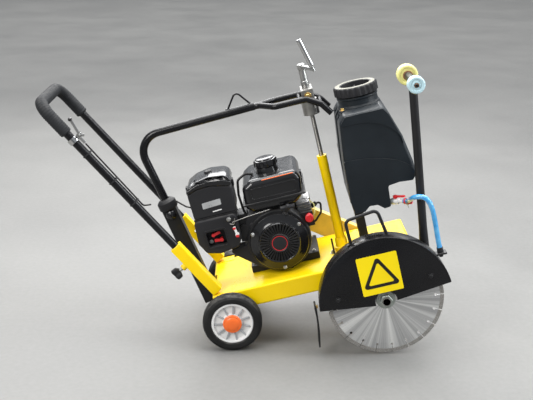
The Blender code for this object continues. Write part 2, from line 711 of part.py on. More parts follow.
def belt_guard():
    """Top channel over the belt, held to the deck's far flange."""
    first, second = np.array(CRANKSHAFT), np.array(ARBOR)
    along = (second - first) / np.linalg.norm(second - first)
    up = np.array((-along[1], along[0]))
    spine = [first - along * 0.062 + up * 0.030, first - along * 0.030 + up * 0.062]
    spine += [second + along * 0.020 + up * 0.066, second + along * 0.062 + up * 0.030]
    lower = [second + along * 0.062 - up * 0.010, first - along * 0.062 - up * 0.010]
    outline = [tuple(point) for point in reversed(spine + lower)]
    shell = prism("belt_guard", outline, 0.4135, 0.4465, "yellow_paint")
    shrink = 0.0025
    spine_in = [first - along * 0.0595 + up * 0.029, first - along * 0.029 + up * 0.0595]
    spine_in += [second + along * 0.019 + up * 0.0635, second + along * 0.0595 + up * 0.029]
    lower_in = [second + along * 0.0595 - up * 0.05, first - along * 0.0595 - up * 0.05]
    inside = [tuple(point) for point in reversed(spine_in + lower_in)]
    hollow = prism("belt_guard_hollow", inside, 0.4135 + shrink, 0.4465 - shrink, "yellow_paint")
    for name, (u, n), radius in (("guard_pto_hole", CRANKSHAFT, 0.040),
                                 ("guard_arbor_hole", ARBOR, 0.026)):
        shell = cut(shell, rod(name, (u, 0.40, n), (u, 0.425, n), radius, "yellow_paint", 24))
    stay_low = (0.330, DECK_V[1] + GAP, 0.030)
    stay = box("belt_guard_stay", stay_low, (0.372, 0.4155, 0.072), "yellow_paint")
    return join(cut(shell, hollow), stay)


def arbor_bearing(name, v_from, v_to):
    """A pillow block under the deck's edge with the arbor running through it."""
    u, n = ARBOR
    block = rod(name, (u, v_from, n), (u, v_to, n), 0.030, "cast_aluminium", 28)
    foot_low = (u - 0.045, v_from + 0.001, 0.001)
    foot = box(name + "_foot", foot_low, (u + 0.045, v_to - 0.001, DECK_N[0] - GAP), "cast_aluminium")
    hole = rod(name + "_bore", (u, v_from - 0.01, n), (u, v_to + 0.01, n), 0.0130, "cast_aluminium", 24)
    return cut(join(block, foot), hole)


def arbor_shaft():
    """Arbor with the driven pulley at its far end and the inner flange by the blade."""
    u, n = ARBOR
    inner = BLADE_T / 2 + 0.0006
    shaft = pulley("arbor_shaft", ARBOR, ARBOR_PULLEY_R, -0.030, 0.4415, 0.0125, "bare_steel")
    flange = rod("inner_flange_disc", (u, inner, n), (u, inner + 0.012, n), 0.029, "bare_steel", 32)
    return join(shaft, flange)


def saw_blade():
    """Steel core with keyhole slots between its segments."""
    u, n = ARBOR
    profile = [(-BLADE_T / 2, 0.0129), (-BLADE_T / 2, BLADE_R), (BLADE_T / 2, BLADE_R),
               (BLADE_T / 2, 0.0129)]
    blade = lathe("saw_blade", (u, 0, n), (0, 1, 0), profile, "blade_steel", 84)
    for i in range(21):
        turn = 2 * math.pi * (i + 0.5) / 21
        start = (u + 0.158 * math.cos(turn), n + 0.158 * math.sin(turn))
        end = (u + 0.180 * math.cos(turn), n + 0.180 * math.sin(turn))
        blade = cut(blade, bar(f"blade_slot{i}", start, end, 0.0026, -0.01, 0.01, "blade_steel"))
    return blade


def outer_flange():
    u, n = ARBOR
    face = -(BLADE_T / 2 + 0.0006)
    profile = [(0, 0.0129), (0, 0.029), (0.006, 0.029), (0.009, 0.026), (0.009, 0.0129)]
    disc = lathe("outer_flange", (u, face, n), (0, -1, 0), profile, "zinc", 32)
    return join(disc, blade_nut())


def blade_nut():
    u, n = ARBOR
    start = -(BLADE_T / 2 + 0.0006) - 0.008
    profile = [(0, 0.0150), (0, 0.0200), (0.012, 0.0200), (0.0145, 0.0180), (0.0145, 0.0150)]
    return lathe("blade_nut", (u, start, n), (0, -1, 0), profile, "zinc", 6)


def guard_outline(shrink):
    """The guard's side view; shrink moves the curved edge inwards."""
    u, n = ARBOR
    radius = GUARD_R - shrink
    curve = arc(ARBOR, radius, 4.0, 176.0, 26)
    return curve, (u - 0.028, n - 0.009), (u + 0.030, n - 0.005)


def blade_guard():
    u, n = ARBOR
    curve, left, right = guard_outline(0.0)
    outline = curve + [left, right]
    shell = prism("blade_guard", outline, GUARD_V[0], GUARD_V[1], "black_paint")
    wall = 0.0025
    inner_curve, _, _ = guard_outline(wall)
    first, last = inner_curve[0], inner_curve[-1]
    inside = inner_curve + [(last[0], last[1] - 0.08), (first[0], first[1] - 0.08)]
    hollow = prism("guard_hollow", inside, GUARD_V[0] + wall, GUARD_V[1] - wall, "black_paint")
    hub = rod("guard_hub_gap", (u, -0.05, n), (u, 0.06, n), 0.033, "black_paint", 32)
    shell = cut(shell, hollow, hub)
    return join(shell, guard_bracket(), guard_handle(), hose_bracket())


def guard_bracket():
    """Arm that carries the guard off the deck's near flange."""
    top = bar("guard_bracket", (0.40, 0.048), (0.52, 0.048), 0.030, 0.0345, DECK_V[0] - GAP,
              "black_paint", 0.002)
    return top


def guard_handle():
    v = 0.007
    feet = ((0.404, 0.1695), (0.514, 0.1760))
    path = [(feet[0][0], v, feet[0][1]), (0.402, v, 0.246), (0.500, v, 0.258),
            (feet[1][0], v, feet[1][1])]
    rod_path = rounded(path, 0.016, 4)
    return pipe("guard_handle", rod_path, 0.005, "black_paint", 12)


def guard_flap():
    outline = [(0.2560, 0.010), (0.2600, 0.010), (0.2560, -0.060), (0.2470, -0.120), (0.2430, -0.120),
               (0.2520, -0.060)]
    return prism("guard_flap", outline[::-1], -0.018, 0.032, "rubber")


def hose_bracket():
    """Nipple and plate at the guard's front that hold the end of the hose."""
    low, high = (0.6425, 0.002, 0.076), (0.6755, 0.030, 0.082)
    plate = box("hose_bracket", low, high, "black_paint", bevel=0.001)
    u, v, n = HOSE_END
    nipple = rod("hose_nipple", (u, v, 0.068), (u, v, n - 0.0005), 0.0055, "black_paint", 16)
    return join(plate, nipple)


# ---- water ----

def water_tank():
    """The moulded tank: a wide body with a step for the valve, and a neck with a mouth."""
    outline = [(0.434, 0.260), (0.438, 0.2235), (0.472, 0.2235), (0.488, 0.238), (0.512, 0.236),
               (0.530, 0.220)]
    outline += [(0.552, 0.222), (0.556, 0.288), (0.590, 0.292), (0.632, 0.288), (0.646, 0.304),
                (0.644, 0.345)]
    outline += [(0.628, 0.430), (0.602, 0.508), (0.588, 0.530), (0.470, 0.530), (0.452, 0.508),
                (0.438, 0.370)]
    body = prism("water_tank", outline, MID - TANK_HALF, MID + TANK_HALF, "tank_plastic", bevel=0.008)
    ridge = [(0.452, 0.395), (0.535, 0.392), (0.600, 0.350), (0.634, 0.310), (0.634, 0.300),
             (0.592, 0.345), (0.530, 0.384), (0.452, 0.387)]
    band = prism("tank_ridge", ridge[::-1], MID - TANK_HALF - 0.003, MID + TANK_HALF + 0.003,
                 "tank_plastic")
    neck = rod("tank_neck", (0.528, MID, 0.52), (0.528, MID, 0.5605), 0.062, "tank_plastic", 36)
    mouth = rod("tank_mouth", (0.528, MID, 0.50), (0.528, MID, 0.60), 0.052, "tank_plastic", 36)
    loops = [rod(f"tank_rest{i}", (0.42, v, 0.563), (0.475, v, 0.483), 0.0100, "tank_plastic", 16)
             for i, v in enumerate((MID - 0.052, MID + 0.052))]
    socket = rod("tank_outlet", valve_point(-0.022), valve_point(0.03), 0.0065, "tank_plastic", 16)
    return cut(join(body, band, neck), mouth, *loops, socket)


def tank_cap():
    base = (0.528, MID, 0.561)
    seal = [(-0.015, 0), (-0.015, 0.0505), (0, 0.0505), (0, 0.060), (0.0025, 0.060), (0.0025, 0)]
    lathe("tank_cap_seal", base, (0, 0, 1), seal, "rubber", 32)
    top = [(0, 0), (0, 0.066), (0.026, 0.066), (0.029, 0.063), (0.029, 0.045), (0.023, 0.043), (0.023, 0)]
    cap = lathe("tank_cap", (0.528, MID, 0.5640), (0, 0, 1), top, "black_plastic", 32)
    for i in range(14):
        turn = 2 * math.pi * i / 14
        at = (0.528 + 0.0645 * math.cos(turn), MID + 0.0645 * math.sin(turn), 0.5660)
        cap = join(cap, rod(f"cap_grip{i}", at, tuple(np.add(at, (0, 0, 0.024))), 0.0040,
                            "black_plastic", 8))
    return cap


def tank_post():
    post = box("tank_post", (0.4410, MID - 0.03, DECK_N[1] - 0.003), (0.4690, MID + 0.03, 0.2230),
               "black_paint", bevel=0.002)
    foot = box("post_foot", (0.4250, MID - 0.05, DECK_N[1] - 0.002), (0.4900, MID + 0.05, 0.0860),
               "black_paint")
    return join(post, foot)


def valve_point(distance, side=0.0, up=0.0):
    """A point along the valve from the tank's wall, and this far beside and above its axis."""
    u, n = VALVE
    along = np.array(VALVE_AXIS)
    across = np.array((-along[1], along[0], 0.0))
    return tuple(np.array((u, VALVE_V, n + up)) + along * distance + across * side)


def water_valve():
    profile = [(0, 0), (0, 0.0060), (0.0240, 0.0060), (0.0240, 0.0095), (0.044, 0.0095), (0.044, 0.0050)]
    profile += [(0.060, 0.0050), (0.060, 0)]
    return lathe("water_valve", valve_point(-0.0180), VALVE_AXIS, profile, "white_plastic", 18)


def valve_lever():
    hub = rod("valve_lever", valve_point(0.016, 0, 0.0100), valve_point(0.016, 0, 0.0190), 0.0065,
              "red_plastic", 16)
    points = []
    for up in (0.0135, 0.0180):
        for distance, side in ((0.016, -0.004), (0.050, -0.004), (0.050, 0.004), (0.016, 0.004)):
            points.append(valve_point(distance, side, up))
    faces = [(3, 2, 1, 0), (4, 5, 6, 7), (0, 1, 5, 4), (1, 2, 6, 5), (2, 3, 7, 6), (3, 0, 4, 7)]
    return join(hub, make("lever_paddle", points, faces, "red_plastic"))


def hose_path():
    """From the valve round the near side of the pointer, then down to the guard's nipple."""
    start, end = np.array(valve_point(0.0432)), np.array(HOSE_END)
    middle = np.array(HOSE_MIDDLE)
    heading = np.array((0.022, -0.012, 0.002))
    first = (start, start + np.array(VALVE_AXIS) * 0.030, middle - heading, middle)
    last = (middle, middle + heading * 2.2, end + np.array((0.0, 0.0, 0.105)), end)
    steps = 15
    path = [bezier(*first, i / steps) for i in range(steps)]
    return path + [bezier(*last, i / steps) for i in range(steps + 1)]


def water_hose():
    """The free hose, a round curve with filled ends."""
    path = hose_path()
    curve = bpy.data.curves.new("water_hose", "CURVE")
    curve.dimensions = "3D"
    curve.bevel_depth = 0.0075
    curve.bevel_resolution = 2
    curve.use_fill_caps = True
    curve.resolution_u = 1
    line = curve.splines.new("POLY")
    line.points.add(len(path) - 1)
    for point, place in zip(line.points, path):
        point.co = (*place, 1.0)
    line.use_smooth = True
    curve.materials.append(paint("blue_hose"))
    item = bpy.data.objects.new("water_hose", curve)
    bpy.context.scene.collection.objects.link(item)
    item.parent = bpy.data.objects["chassis_frame"]
    return item


def bezier(a, b, c, d, t):
    s = 1 - t
    return s ** 3 * a + 3 * s * s * t * b + 3 * s * t * t * c + t ** 3 * d


# ---- pointer ----

def pointer_bracket():
    """The two cheeks at the deck's front corner that the pointer folds between."""
    u, n = POINTER_PIVOT
    low = (DECK_U[1] - 0.06, POINTER_V + 0.0138, 0.034)
    plate = box("pointer_bracket", low, (u + 0.014, DECK_V[0] + 0.0062, n + 0.014), "black_paint",
                bevel=0.0015)
    pin = rod("pointer_pin", (u, POINTER_V - 0.0150, n), (u, low[1] + 0.002, n), 0.0050, "black_paint",
              16)
    return join(plate, pin)


def pointer_arm():
    """The folding sight arm with the cross axle of its two rollers."""
    top = np.array(POINTER_TOP)
    pivot = np.array(POINTER_PIVOT)
    body = pipe("pointer_arm", [uvn(pivot, POINTER_V), uvn(top, POINTER_V)], TUBE_R, "black_paint", 18,
                uvn(pivot, POINTER_V))
    heel = rod("pointer_heel", (pivot[0], POINTER_V - 0.0125, pivot[1]),
               (pivot[0], POINTER_V + 0.0125, pivot[1]), 0.0150, "black_paint", 20)
    axle = rod("pointer_axle", (top[0], -0.012, top[1]), (top[0], 0.192, top[1]), 0.0060, "zinc", 16)
    head = rod("pointer_head", (top[0], 0.022, top[1]), (top[0], 0.150, top[1]), 0.0110, "black_paint",
               18)
    hole = rod("pointer_hole", (pivot[0], 0.0, pivot[1]), (pivot[0], 0.1, pivot[1]), 0.0054,
               "black_paint", 16)
    return cut(join(body, heel, axle, head), hole)


def roller(name, v_from, v_to, radius, colour):
    u, n = POINTER_TOP
    profile = [(0, 0.0064), (0, radius - 0.003), (0.003, radius), (v_to - v_from - 0.003, radius)]
    profile += [(v_to - v_from, radius - 0.003), (v_to - v_from, 0.0064)]
    return lathe(name, (u, v_from, n), (0, 1, 0), profile, colour, 24)


# ---- handle ----

def handle_tube():
    """The U-shaped tube whose legs slide in the two sleeves."""
    along, _ = handle_directions()
    low = np.add(SLEEVE_FOOT, along * 0.045)
    near, far = HANDLE_V
    path = [uvn(low, near), uvn(HANDLE_CORNER, near), uvn(HANDLE_CORNER, far), uvn(low, far)]
    return pipe("handle_tube", rounded(path, 0.045, 6), TUBE_R, "black_paint", 14)


def handle_grip():
    along, _ = handle_directions()
    low = np.subtract(HANDLE_CORNER, along * 0.115)
    near, far = HANDLE_V
    path = [uvn(low, near), uvn(HANDLE_CORNER, near), uvn(HANDLE_CORNER, far), uvn(low, far)]
    outer = pipe("handle_grip", rounded(path, 0.045, 6), 0.0190, "grip_rubber", 14)
    lower = np.subtract(low, along * 0.03)
    longer = [uvn(lower, near), uvn(HANDLE_CORNER, near), uvn(HANDLE_CORNER, far), uvn(lower, far)]
    inner = pipe("grip_bore", rounded(longer, 0.045, 6), TUBE_R + 0.0008, "grip_rubber", 14)
    return cut(outer, inner)


def throttle_clamp():
    along, back = handle_directions()
    near = HANDLE_V[0]
    at = np.subtract(HANDLE_CORNER, along * 0.142)
    start = np.subtract(at, along * 0.008)
    ring = lathe("throttle_clamp", uvn(start, near), uvn(along, 0.0),
                 [(0, TUBE_R + GAP), (0, 0.0165), (0.016, 0.0165), (0.016, TUBE_R + GAP)], "zinc", 24)
    lug_in = np.subtract(at, back * 0.0145)
    lug_out = np.subtract(at, back * 0.0330)
    lug = bar("clamp_lug", lug_in, lug_out, 0.014, near - 0.003, near + 0.003, "zinc")
    pivot = np.subtract(at, back * 0.0270)
    pin = rod("clamp_pin", uvn(pivot, near - 0.011), uvn(pivot, near - 0.002), 0.0030, "zinc", 12)
    stop_end = np.subtract(np.subtract(at, along * 0.028), back * 0.0205)
    stop = bar("clamp_stop", np.subtract(at, back * 0.0205), stop_end, 0.007, near - 0.003, near + 0.003,
               "zinc")
    return join(ring, lug, pin, stop)


def throttle_lever():
    along, back = handle_directions()
    v = HANDLE_V[0] - 0.0034
    at = np.subtract(np.subtract(HANDLE_CORNER, along * 0.142), back * 0.0270)
    tip = np.add(np.subtract(at, back * 0.012), along * 0.052)
    tail = np.subtract(np.subtract(at, back * 0.010), along * 0.010)
    hub = rod("throttle_lever", uvn(at, v - 0.004), uvn(at, v), 0.0075, "zinc", 18)
    arm = bar("lever_arm", at, tip, 0.007, v - 0.004, v, "zinc")
    knob = rod("lever_knob", uvn(tip, v - 0.008), uvn(tip, v), 0.0060, "zinc", 14)
    heel = bar("lever_heel", at, tail, 0.007, v - 0.004, v, "zinc")
    hole = rod("lever_hole", uvn(at, v - 0.02), uvn(at, v + 0.01), 0.0034, "zinc", 12)
    return cut(join(hub, arm, knob, heel), hole)


def cable(name, path, radius=0.0025):
    return pipe(name, rounded(path, 0.012, 3), radius, "rubber", 8)


def throttle_cable_upper():
    """The cable's run beside the near leg, down to where it leaves the handle."""
    along, back = handle_directions()
    near = HANDLE_V[0]
    start = np.subtract(np.subtract(HANDLE_CORNER, along * 0.1725), back * 0.0205)
    low = np.subtract(np.subtract(HANDLE_CORNER, along * 0.425), back * 0.0165)
    turn = np.subtract(low, along * 0.014)
    path = [uvn(start, near), uvn(low, near), (float(turn[0]) + 0.010, near + 0.030,
                                               float(turn[1]) + 0.002)]
    return cable("throttle_cable_upper", path)


def throttle_cable_lower():
    """From the collar to the engine's control box."""
    start = column_line(0.018)
    path = [(start[0] + 0.0315, MID - 0.010, start[2]), (-0.068, 0.215, 0.342), (-0.0447, 0.200, 0.335)]
    return cable("throttle_cable_lower", path)


def main():
    clear_scene()
    frame = bpy.data.objects.new("chassis_frame", None)
    bpy.context.scene.collection.objects.link(frame)
    frame.rotation_euler = (0, -PITCH, 0)
    deck()
    for side, v in zip(("near", "far"), HANDLE_V):
        sleeve(side + "_handle_sleeve", v)
        star_knob(side + "_clamp_knob", v)
    rear_axle()
    rear_wheel("near_wheel", NEAR_WHEEL_V, -1)
    rear_wheel("far_wheel", FAR_WHEEL_V, 1)
    column()
    upper_arm()
    spindle_block()
    crank()
    crank_grip()
    leg_tube()
    front_wheel("near_front_wheel", MID - FRONT_TRACK)
    front_wheel("far_front_wheel", MID + FRONT_TRACK)
    crankcase()
    fan_housing()
    recoil_cover()
    starter_grip()
    air_cleaner()
    control_box()
    control_levers()
    engine_throttle()
    fuel_tank()
    fuel_cap()
    cylinder_head()
    muffler()
    stop_switch()
    pulley("engine_shaft", CRANKSHAFT, ENGINE_PULLEY_R, 0.305, 0.4415, 0.0095, "bare_steel")
    drive_belt()
    belt_guard()
    arbor_bearing("near_arbor_bearing", 0.086, 0.116)
    arbor_bearing("far_arbor_bearing", 0.364, 0.394)
    arbor_shaft()
    saw_blade()
    outer_flange()
    blade_guard()
    guard_flap()
    water_tank()
    tank_cap()
    water_valve()
    valve_lever()
    water_hose()
    pointer_arm()
    roller("near_roller", -0.010, 0.016, 0.025, "pale_blue")
    roller("far_roller", 0.156, 0.188, 0.031, "pale_yellow")
    handle_tube()
    handle_grip()
    throttle_clamp()
    throttle_lever()
    throttle_cable_upper()
    throttle_cable_lower()
    stand_on_floor(frame)


def stand_on_floor(frame):
    """Moves the frame so that the object's box stands on z 0, centred in x and y."""
    bpy.context.view_layer.update()
    graph = bpy.context.evaluated_depsgraph_get()
    lows, highs = [], []
    for item in bpy.data.objects:
        if item.type == "EMPTY" or item.hide_render:
            continue
        solid = item.evaluated_get(graph)
        mesh = solid.to_mesh()
        points = np.array([tuple(solid.matrix_world @ vertex.co) for vertex in mesh.vertices])
        solid.to_mesh_clear()
        lows.append(points.min(axis=0))
        highs.append(points.max(axis=0))
    low, high = np.min(lows, axis=0), np.max(highs, axis=0)
    middle = (low + high) / 2
    frame.location = (-float(middle[0]), -float(middle[1]), -float(low[2]))


main()
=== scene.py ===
"""Looks of a walk-behind concrete saw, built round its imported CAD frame.

Pieces are drawn in the chassis frame: u forward along the deck, v across from the
blade, n square to the deck, origin on the rear axle in the blade's plane.
"""
import math

import bpy
import numpy as np
from mathutils import Matrix, Vector


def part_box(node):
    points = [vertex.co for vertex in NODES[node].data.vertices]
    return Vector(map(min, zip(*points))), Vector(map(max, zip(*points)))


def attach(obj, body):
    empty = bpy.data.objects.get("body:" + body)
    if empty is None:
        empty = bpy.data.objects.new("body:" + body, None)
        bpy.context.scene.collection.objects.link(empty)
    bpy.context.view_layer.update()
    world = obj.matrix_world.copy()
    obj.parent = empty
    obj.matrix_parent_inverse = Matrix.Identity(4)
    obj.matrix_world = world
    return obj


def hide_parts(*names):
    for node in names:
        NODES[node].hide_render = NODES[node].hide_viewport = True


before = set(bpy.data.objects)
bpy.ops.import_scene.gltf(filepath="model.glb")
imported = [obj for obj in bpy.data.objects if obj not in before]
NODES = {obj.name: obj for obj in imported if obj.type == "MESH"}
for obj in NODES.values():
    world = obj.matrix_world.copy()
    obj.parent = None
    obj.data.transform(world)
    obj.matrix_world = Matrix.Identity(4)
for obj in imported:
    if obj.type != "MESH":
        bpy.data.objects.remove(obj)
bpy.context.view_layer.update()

PITCH = math.radians(13.5)
AXLE_START = 0.026
MID = 0.24
DECK_U, DECK_V, DECK_N = (-0.045, 0.592), (0.08, 0.40), (0.020, 0.080)
SPINDLE_U = 0.381
TUBE_R = 0.0125
SLEEVE_FOOT = np.array((-0.025, 0.089))
HANDLE_CORNER = np.array((-0.388, 0.776))
HANDLE_V = (0.10, 0.39)
HANDLE_ALONG = (HANDLE_CORNER - SLEEVE_FOOT) / np.linalg.norm(HANDLE_CORNER - SLEEVE_FOOT)
HANDLE_BACK = np.array((-HANDLE_ALONG[1], HANDLE_ALONG[0]))
CLAMP_AT = 0.126
COLUMN_FOOT, COLUMN_TOP = np.array((-0.068, 0.012)), np.array((-0.124, 0.345))
ARM_RISE = np.array((-0.1658, 0.9862))
VALVE_AT, VALVE_AXIS = np.array((0.556, 0.135, 0.232)), np.array((0.8, -0.6, 0.0))
HOSE_MIDDLE, HOSE_END = np.array((0.6235, 0.030, 0.262)), np.array((0.6585, 0.016, 0.0965))
HOSE_RADIUS = 0.0075
POINTER_PIVOT = (0.6185, 0.082)
TANK_MOUTH_U = 0.528
BLADE_SEGMENTS = 21
SLOT_HALF = 0.0013
SLOT_HOLE = 0.0042
FLOOR_SIDE = 40.0
CAMERA_FROM_BLADE = (-0.3955, -2.7803, 1.1438)
CAMERA_TURN = (math.radians(73.3), 0.0, -0.0139)
CAMERA_LENS = 67.54


def chassis_matrix():
    low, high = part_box("rear_axle")
    origin = ((low.x + high.x) / 2, low.y - AXLE_START, (low.z + high.z) / 2)
    return Matrix.Translation(origin) @ Matrix.Rotation(-PITCH, 4, "Y")


CHASSIS = chassis_matrix()


def span(node):
    """Lowest and highest (u, v, n) of a CAD node."""
    back = np.array(CHASSIS.inverted())
    places = np.array([point.co for point in NODES[node].data.vertices])
    places = places @ back[:3, :3].T + back[:3, 3]
    return places.min(0), places.max(0)


def centre(node):
    low, high = span(node)
    return (low + high) / 2


def heart_of(node):
    low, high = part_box(node)
    return (Vector(low) + Vector(high)) / 2


BLADE_HEART = heart_of("saw_blade")
ARBOR = tuple(centre("saw_blade")[[0, 2]])
BLADE_R = float(span("saw_blade")[1][0] - centre("saw_blade")[0])
CRANKSHAFT = tuple(centre("recoil_cover")[[0, 2]])


# ---- camera, light and floor ----

def add(name, data):
    item = bpy.data.objects.new(name, data)
    bpy.context.scene.collection.objects.link(item)
    return item


def set_camera():
    data = bpy.data.cameras.new("camera")
    data.lens = CAMERA_LENS
    camera = add("camera", data)
    camera.location = BLADE_HEART + Vector(CAMERA_FROM_BLADE)
    camera.rotation_euler = CAMERA_TURN
    bpy.context.scene.camera = camera


def area_light(name, place, target, size, power, colour=(1, 1, 1)):
    data = bpy.data.lights.new(name, "AREA")
    data.shape = "RECTANGLE"
    data.size, data.size_y = size
    data.energy = power
    data.color = colour
    lamp = add(name, data)
    lamp.location = place
    heading = Vector(target) - Vector(place)
    lamp.rotation_euler = heading.to_track_quat("-Z", "Y").to_euler()


def set_lights():
    world = bpy.data.worlds.new("studio")
    bpy.context.scene.world = world
    world.use_nodes = True
    back = world.node_tree.nodes["Background"]
    back.inputs["Color"].default_value = (0.86, 0.90, 0.95, 1)
    back.inputs["Strength"].default_value = 0.50
    bpy.context.scene.view_settings.view_transform = "Standard"
    area_light("overhead", (0.2, 0.4, 3.2), (0.1, 0, 0.3), (3.6, 2.4), 195)
    area_light("front_left", (-2.2, -2.4, 2.4), (0, 0, 0.4), (1.8, 1.6), 105, (1.0, 0.98, 0.95))
    area_light("right_window", (2.8, -0.6, 1.9), (0.1, 0, 0.4), (1.2, 2.2), 85, (0.93, 0.97, 1.0))
    area_light("far_floor", (0.0, 8.0, 6.0), (0.0, 8.0, 0.0), (14.0, 9.0), 900)
    area_light("behind", (-0.6, 3.0, 2.2), (0, 0, 0.5), (3.0, 1.2), 60)


# ---- surfaces ----

class Nodes:
    """Short calls for the shader nodes that the looks share."""

    def __init__(self, name):
        self.material = bpy.data.materials.new(name)
        self.material.use_nodes = True
        self.tree = self.material.node_tree
        self.shader = self.tree.nodes["Principled BSDF"]
        self.place = self.node("ShaderNodeTexCoord").outputs["Object"]

    def node(self, kind, links=(), **settings):
        made = self.tree.nodes.new(kind)
        for key, value in settings.items():
            setattr(made, key, value)
        for socket, value in links:
            self.feed(made.inputs[socket], value)
        return made

    def feed(self, socket, value):
        if isinstance(value, bpy.types.NodeSocket):
            self.tree.links.new(value, socket)
        else:
            socket.default_value = value

    def set(self, socket, value):
        self.feed(self.shader.inputs[socket], value)

    def noise(self, scale, detail=4.0, stretch=(1, 1, 1), place=None, rough=0.55):
        place = place or self.place
        if stretch != (1, 1, 1):
            place = self.node("ShaderNodeMapping", [("Vector", place), ("Scale", stretch)]).outputs[0]
        links = [("Vector", place), ("Scale", scale), ("Detail", detail), ("Roughness", rough)]
        return self.node("ShaderNodeTexNoise", links).outputs["Fac"]

    def ramp(self, value, low, high, to_low=0.0, to_high=1.0):
        links = [("Value", value), ("From Min", low), ("From Max", high)]
        links += [("To Min", to_low), ("To Max", to_high)]
        return self.node("ShaderNodeMapRange", links).outputs[0]

    def maths(self, operation, first, second=0.0):
        return self.node("ShaderNodeMath", [(0, first), (1, second)], operation=operation).outputs[0]

    def mix(self, factor, first, second):
        links = [("Factor", factor), (6, first), (7, second)]
        return self.node("ShaderNodeMix", links, data_type="RGBA").outputs[2]

    def bump(self, height, strength, distance, before=None):
        links = [("Height", height), ("Strength", strength), ("Distance", distance)]
        if before:
            links.append(("Normal", before))
        return self.node("ShaderNodeBump", links).outputs[0]

    def upward(self, start):
        """1 where the surface faces up, falling to 0 at this much of the way."""
        normal = self.node("ShaderNodeNewGeometry").outputs["Normal"]
        up = self.node("ShaderNodeSeparateXYZ", [(0, normal)]).outputs["Z"]
        return self.ramp(up, start, 1.0)

    def edges(self, radius):
        """1 along the object's own sharp edges."""
        plain = self.node("ShaderNodeNewGeometry").outputs["Normal"]
        worn = self.node("ShaderNodeBevel", [("Radius", radius)], samples=4).outputs[0]
        same = self.node("ShaderNodeVectorMath", [(0, plain), (1, worn)], operation="DOT_PRODUCT")
        return self.ramp(same.outputs["Value"], 0.985, 0.90)


def shade(colour, factor):
    return (*(min(1.0, part * factor) for part in colour), 1.0)


def surface(name, colour, rough, metal=0.0, coat=0.0, tint=0.15, blotch=7.0, grain=(300, 0.12),
            dust=0.0, wear=None, stretch=(1, 1, 1), dust_colour=(0.42, 0.40, 0.37), specular=0.5):
    """A finish with uneven colour and gloss, fine grain, dust on its tops and worn edges."""
    look = Nodes(name)
    patches = look.noise(blotch, 6.0)
    fine = look.noise(grain[0], 3.0, stretch)
    base = look.mix(look.ramp(patches, 0.3, 0.7), shade(colour, 1 - tint), shade(colour, 1 + tint))
    gloss = look.ramp(look.maths("ADD", patches, fine), 0.7, 1.3, rough * 0.78, min(1.0, rough * 1.28))
    if dust:
        speck = look.ramp(look.noise(blotch * 3, 8.0, rough=0.7), 0.40, 0.72)
        lying = look.maths("MULTIPLY", look.maths("MULTIPLY", look.upward(0.25), speck), dust)
        base = look.mix(lying, base, (*dust_colour, 1))
        gloss = look.maths("ADD", gloss, look.maths("MULTIPLY", lying, 0.5))
    if wear:
        rub = look.ramp(look.noise(45, 5.0), 0.46, 0.62)
        bare = look.maths("MULTIPLY", look.edges(0.0016), rub)
        base = look.mix(bare, base, (*wear, 1))
        gloss = look.maths("ADD", gloss, look.maths("MULTIPLY", bare, 0.2))
    look.set("Base Color", base)
    look.set("Roughness", gloss)
    look.set("Metallic", metal)
    look.set("Specular IOR Level", specular)
    look.set("Coat Weight", coat)
    look.set("Coat Roughness", 0.12)
    look.set("Normal", look.bump(fine, grain[1], 0.0006))
    return look.material


def blade_look():
    """Ground steel with a painted sheen: bright and dark wedges round the disc are painted into its colour,
    where the real blade's grinding marks catch the light; fine rings of those marks run round it in the
    roughness and bumps.
    """
    look = Nodes("blade_steel")
    moved = look.node("ShaderNodeVectorMath", [(0, look.place), (1, tuple(BLADE_HEART))],
                      operation="SUBTRACT")
    parts = look.node("ShaderNodeSeparateXYZ", [(0, moved.outputs[0])]).outputs
    turn = look.maths("ARCTAN2", parts["Z"], parts["X"])
    ring = look.node("ShaderNodeVectorMath", [(0, moved.outputs[0])], operation="LENGTH").outputs["Value"]
    round_place = look.node("ShaderNodeCombineXYZ", [(0, look.maths("SINE", turn)),
                                                     (1, look.maths("COSINE", turn))]).outputs[0]
    sheen_wedges = look.noise(2.1, 3.0, place=round_place, rough=0.75)
    rays = look.noise(34, 2.0, place=round_place)
    rings = look.node("ShaderNodeCombineXYZ", [(0, ring)]).outputs[0]
    marks = look.noise(900, 3.0, place=rings)
    # Painted sheen: the bright and dark wedges of reflection are painted into the base colour.
    tone = look.maths("ADD", look.maths("MULTIPLY", sheen_wedges, 0.8), look.maths("MULTIPLY", rays, 0.2))
    base = look.mix(look.ramp(tone, 0.38, 0.62), (0.36, 0.36, 0.37, 1), (0.95, 0.95, 0.94, 1))
    rim = look.ramp(ring, 0.1625, 0.1640)
    grit = look.mix(look.ramp(look.noise(700, 2.0), 0.4, 0.6), (0.20, 0.19, 0.18, 1), (0.52, 0.50, 0.47, 1))
    look.set("Base Color", look.mix(rim, base, grit))
    look.set("Metallic", 0.9)
    look.set("Roughness", look.maths("ADD", look.ramp(marks, 0.3, 0.7, 0.24, 0.42),
                                     look.maths("MULTIPLY", rim, 0.3)))
    look.set("Normal", look.bump(look.maths("ADD", marks, look.maths("MULTIPLY", rays, 0.6)), 0.10, 0.0004))
    return look.material


def hose_look():
    """Clear blue tube whose blue varies in soft clouds."""
    look = Nodes("blue_hose")
    cloud = look.noise(40, 3.0)
    look.set("Base Color", look.mix(look.ramp(cloud, 0.35, 0.65), (0.03, 0.36, 0.78, 1),
                                    (0.16, 0.55, 0.92, 1)))
    look.set("Roughness", look.ramp(look.noise(200, 3.0), 0.3, 0.7, 0.06, 0.16))
    look.set("Transmission Weight", 0.35)
    look.set("IOR", 1.45)
    look.set("Coat Weight", 0.6)
    look.set("Normal", look.bump(cloud, 0.15, 0.0008))
    return look.material


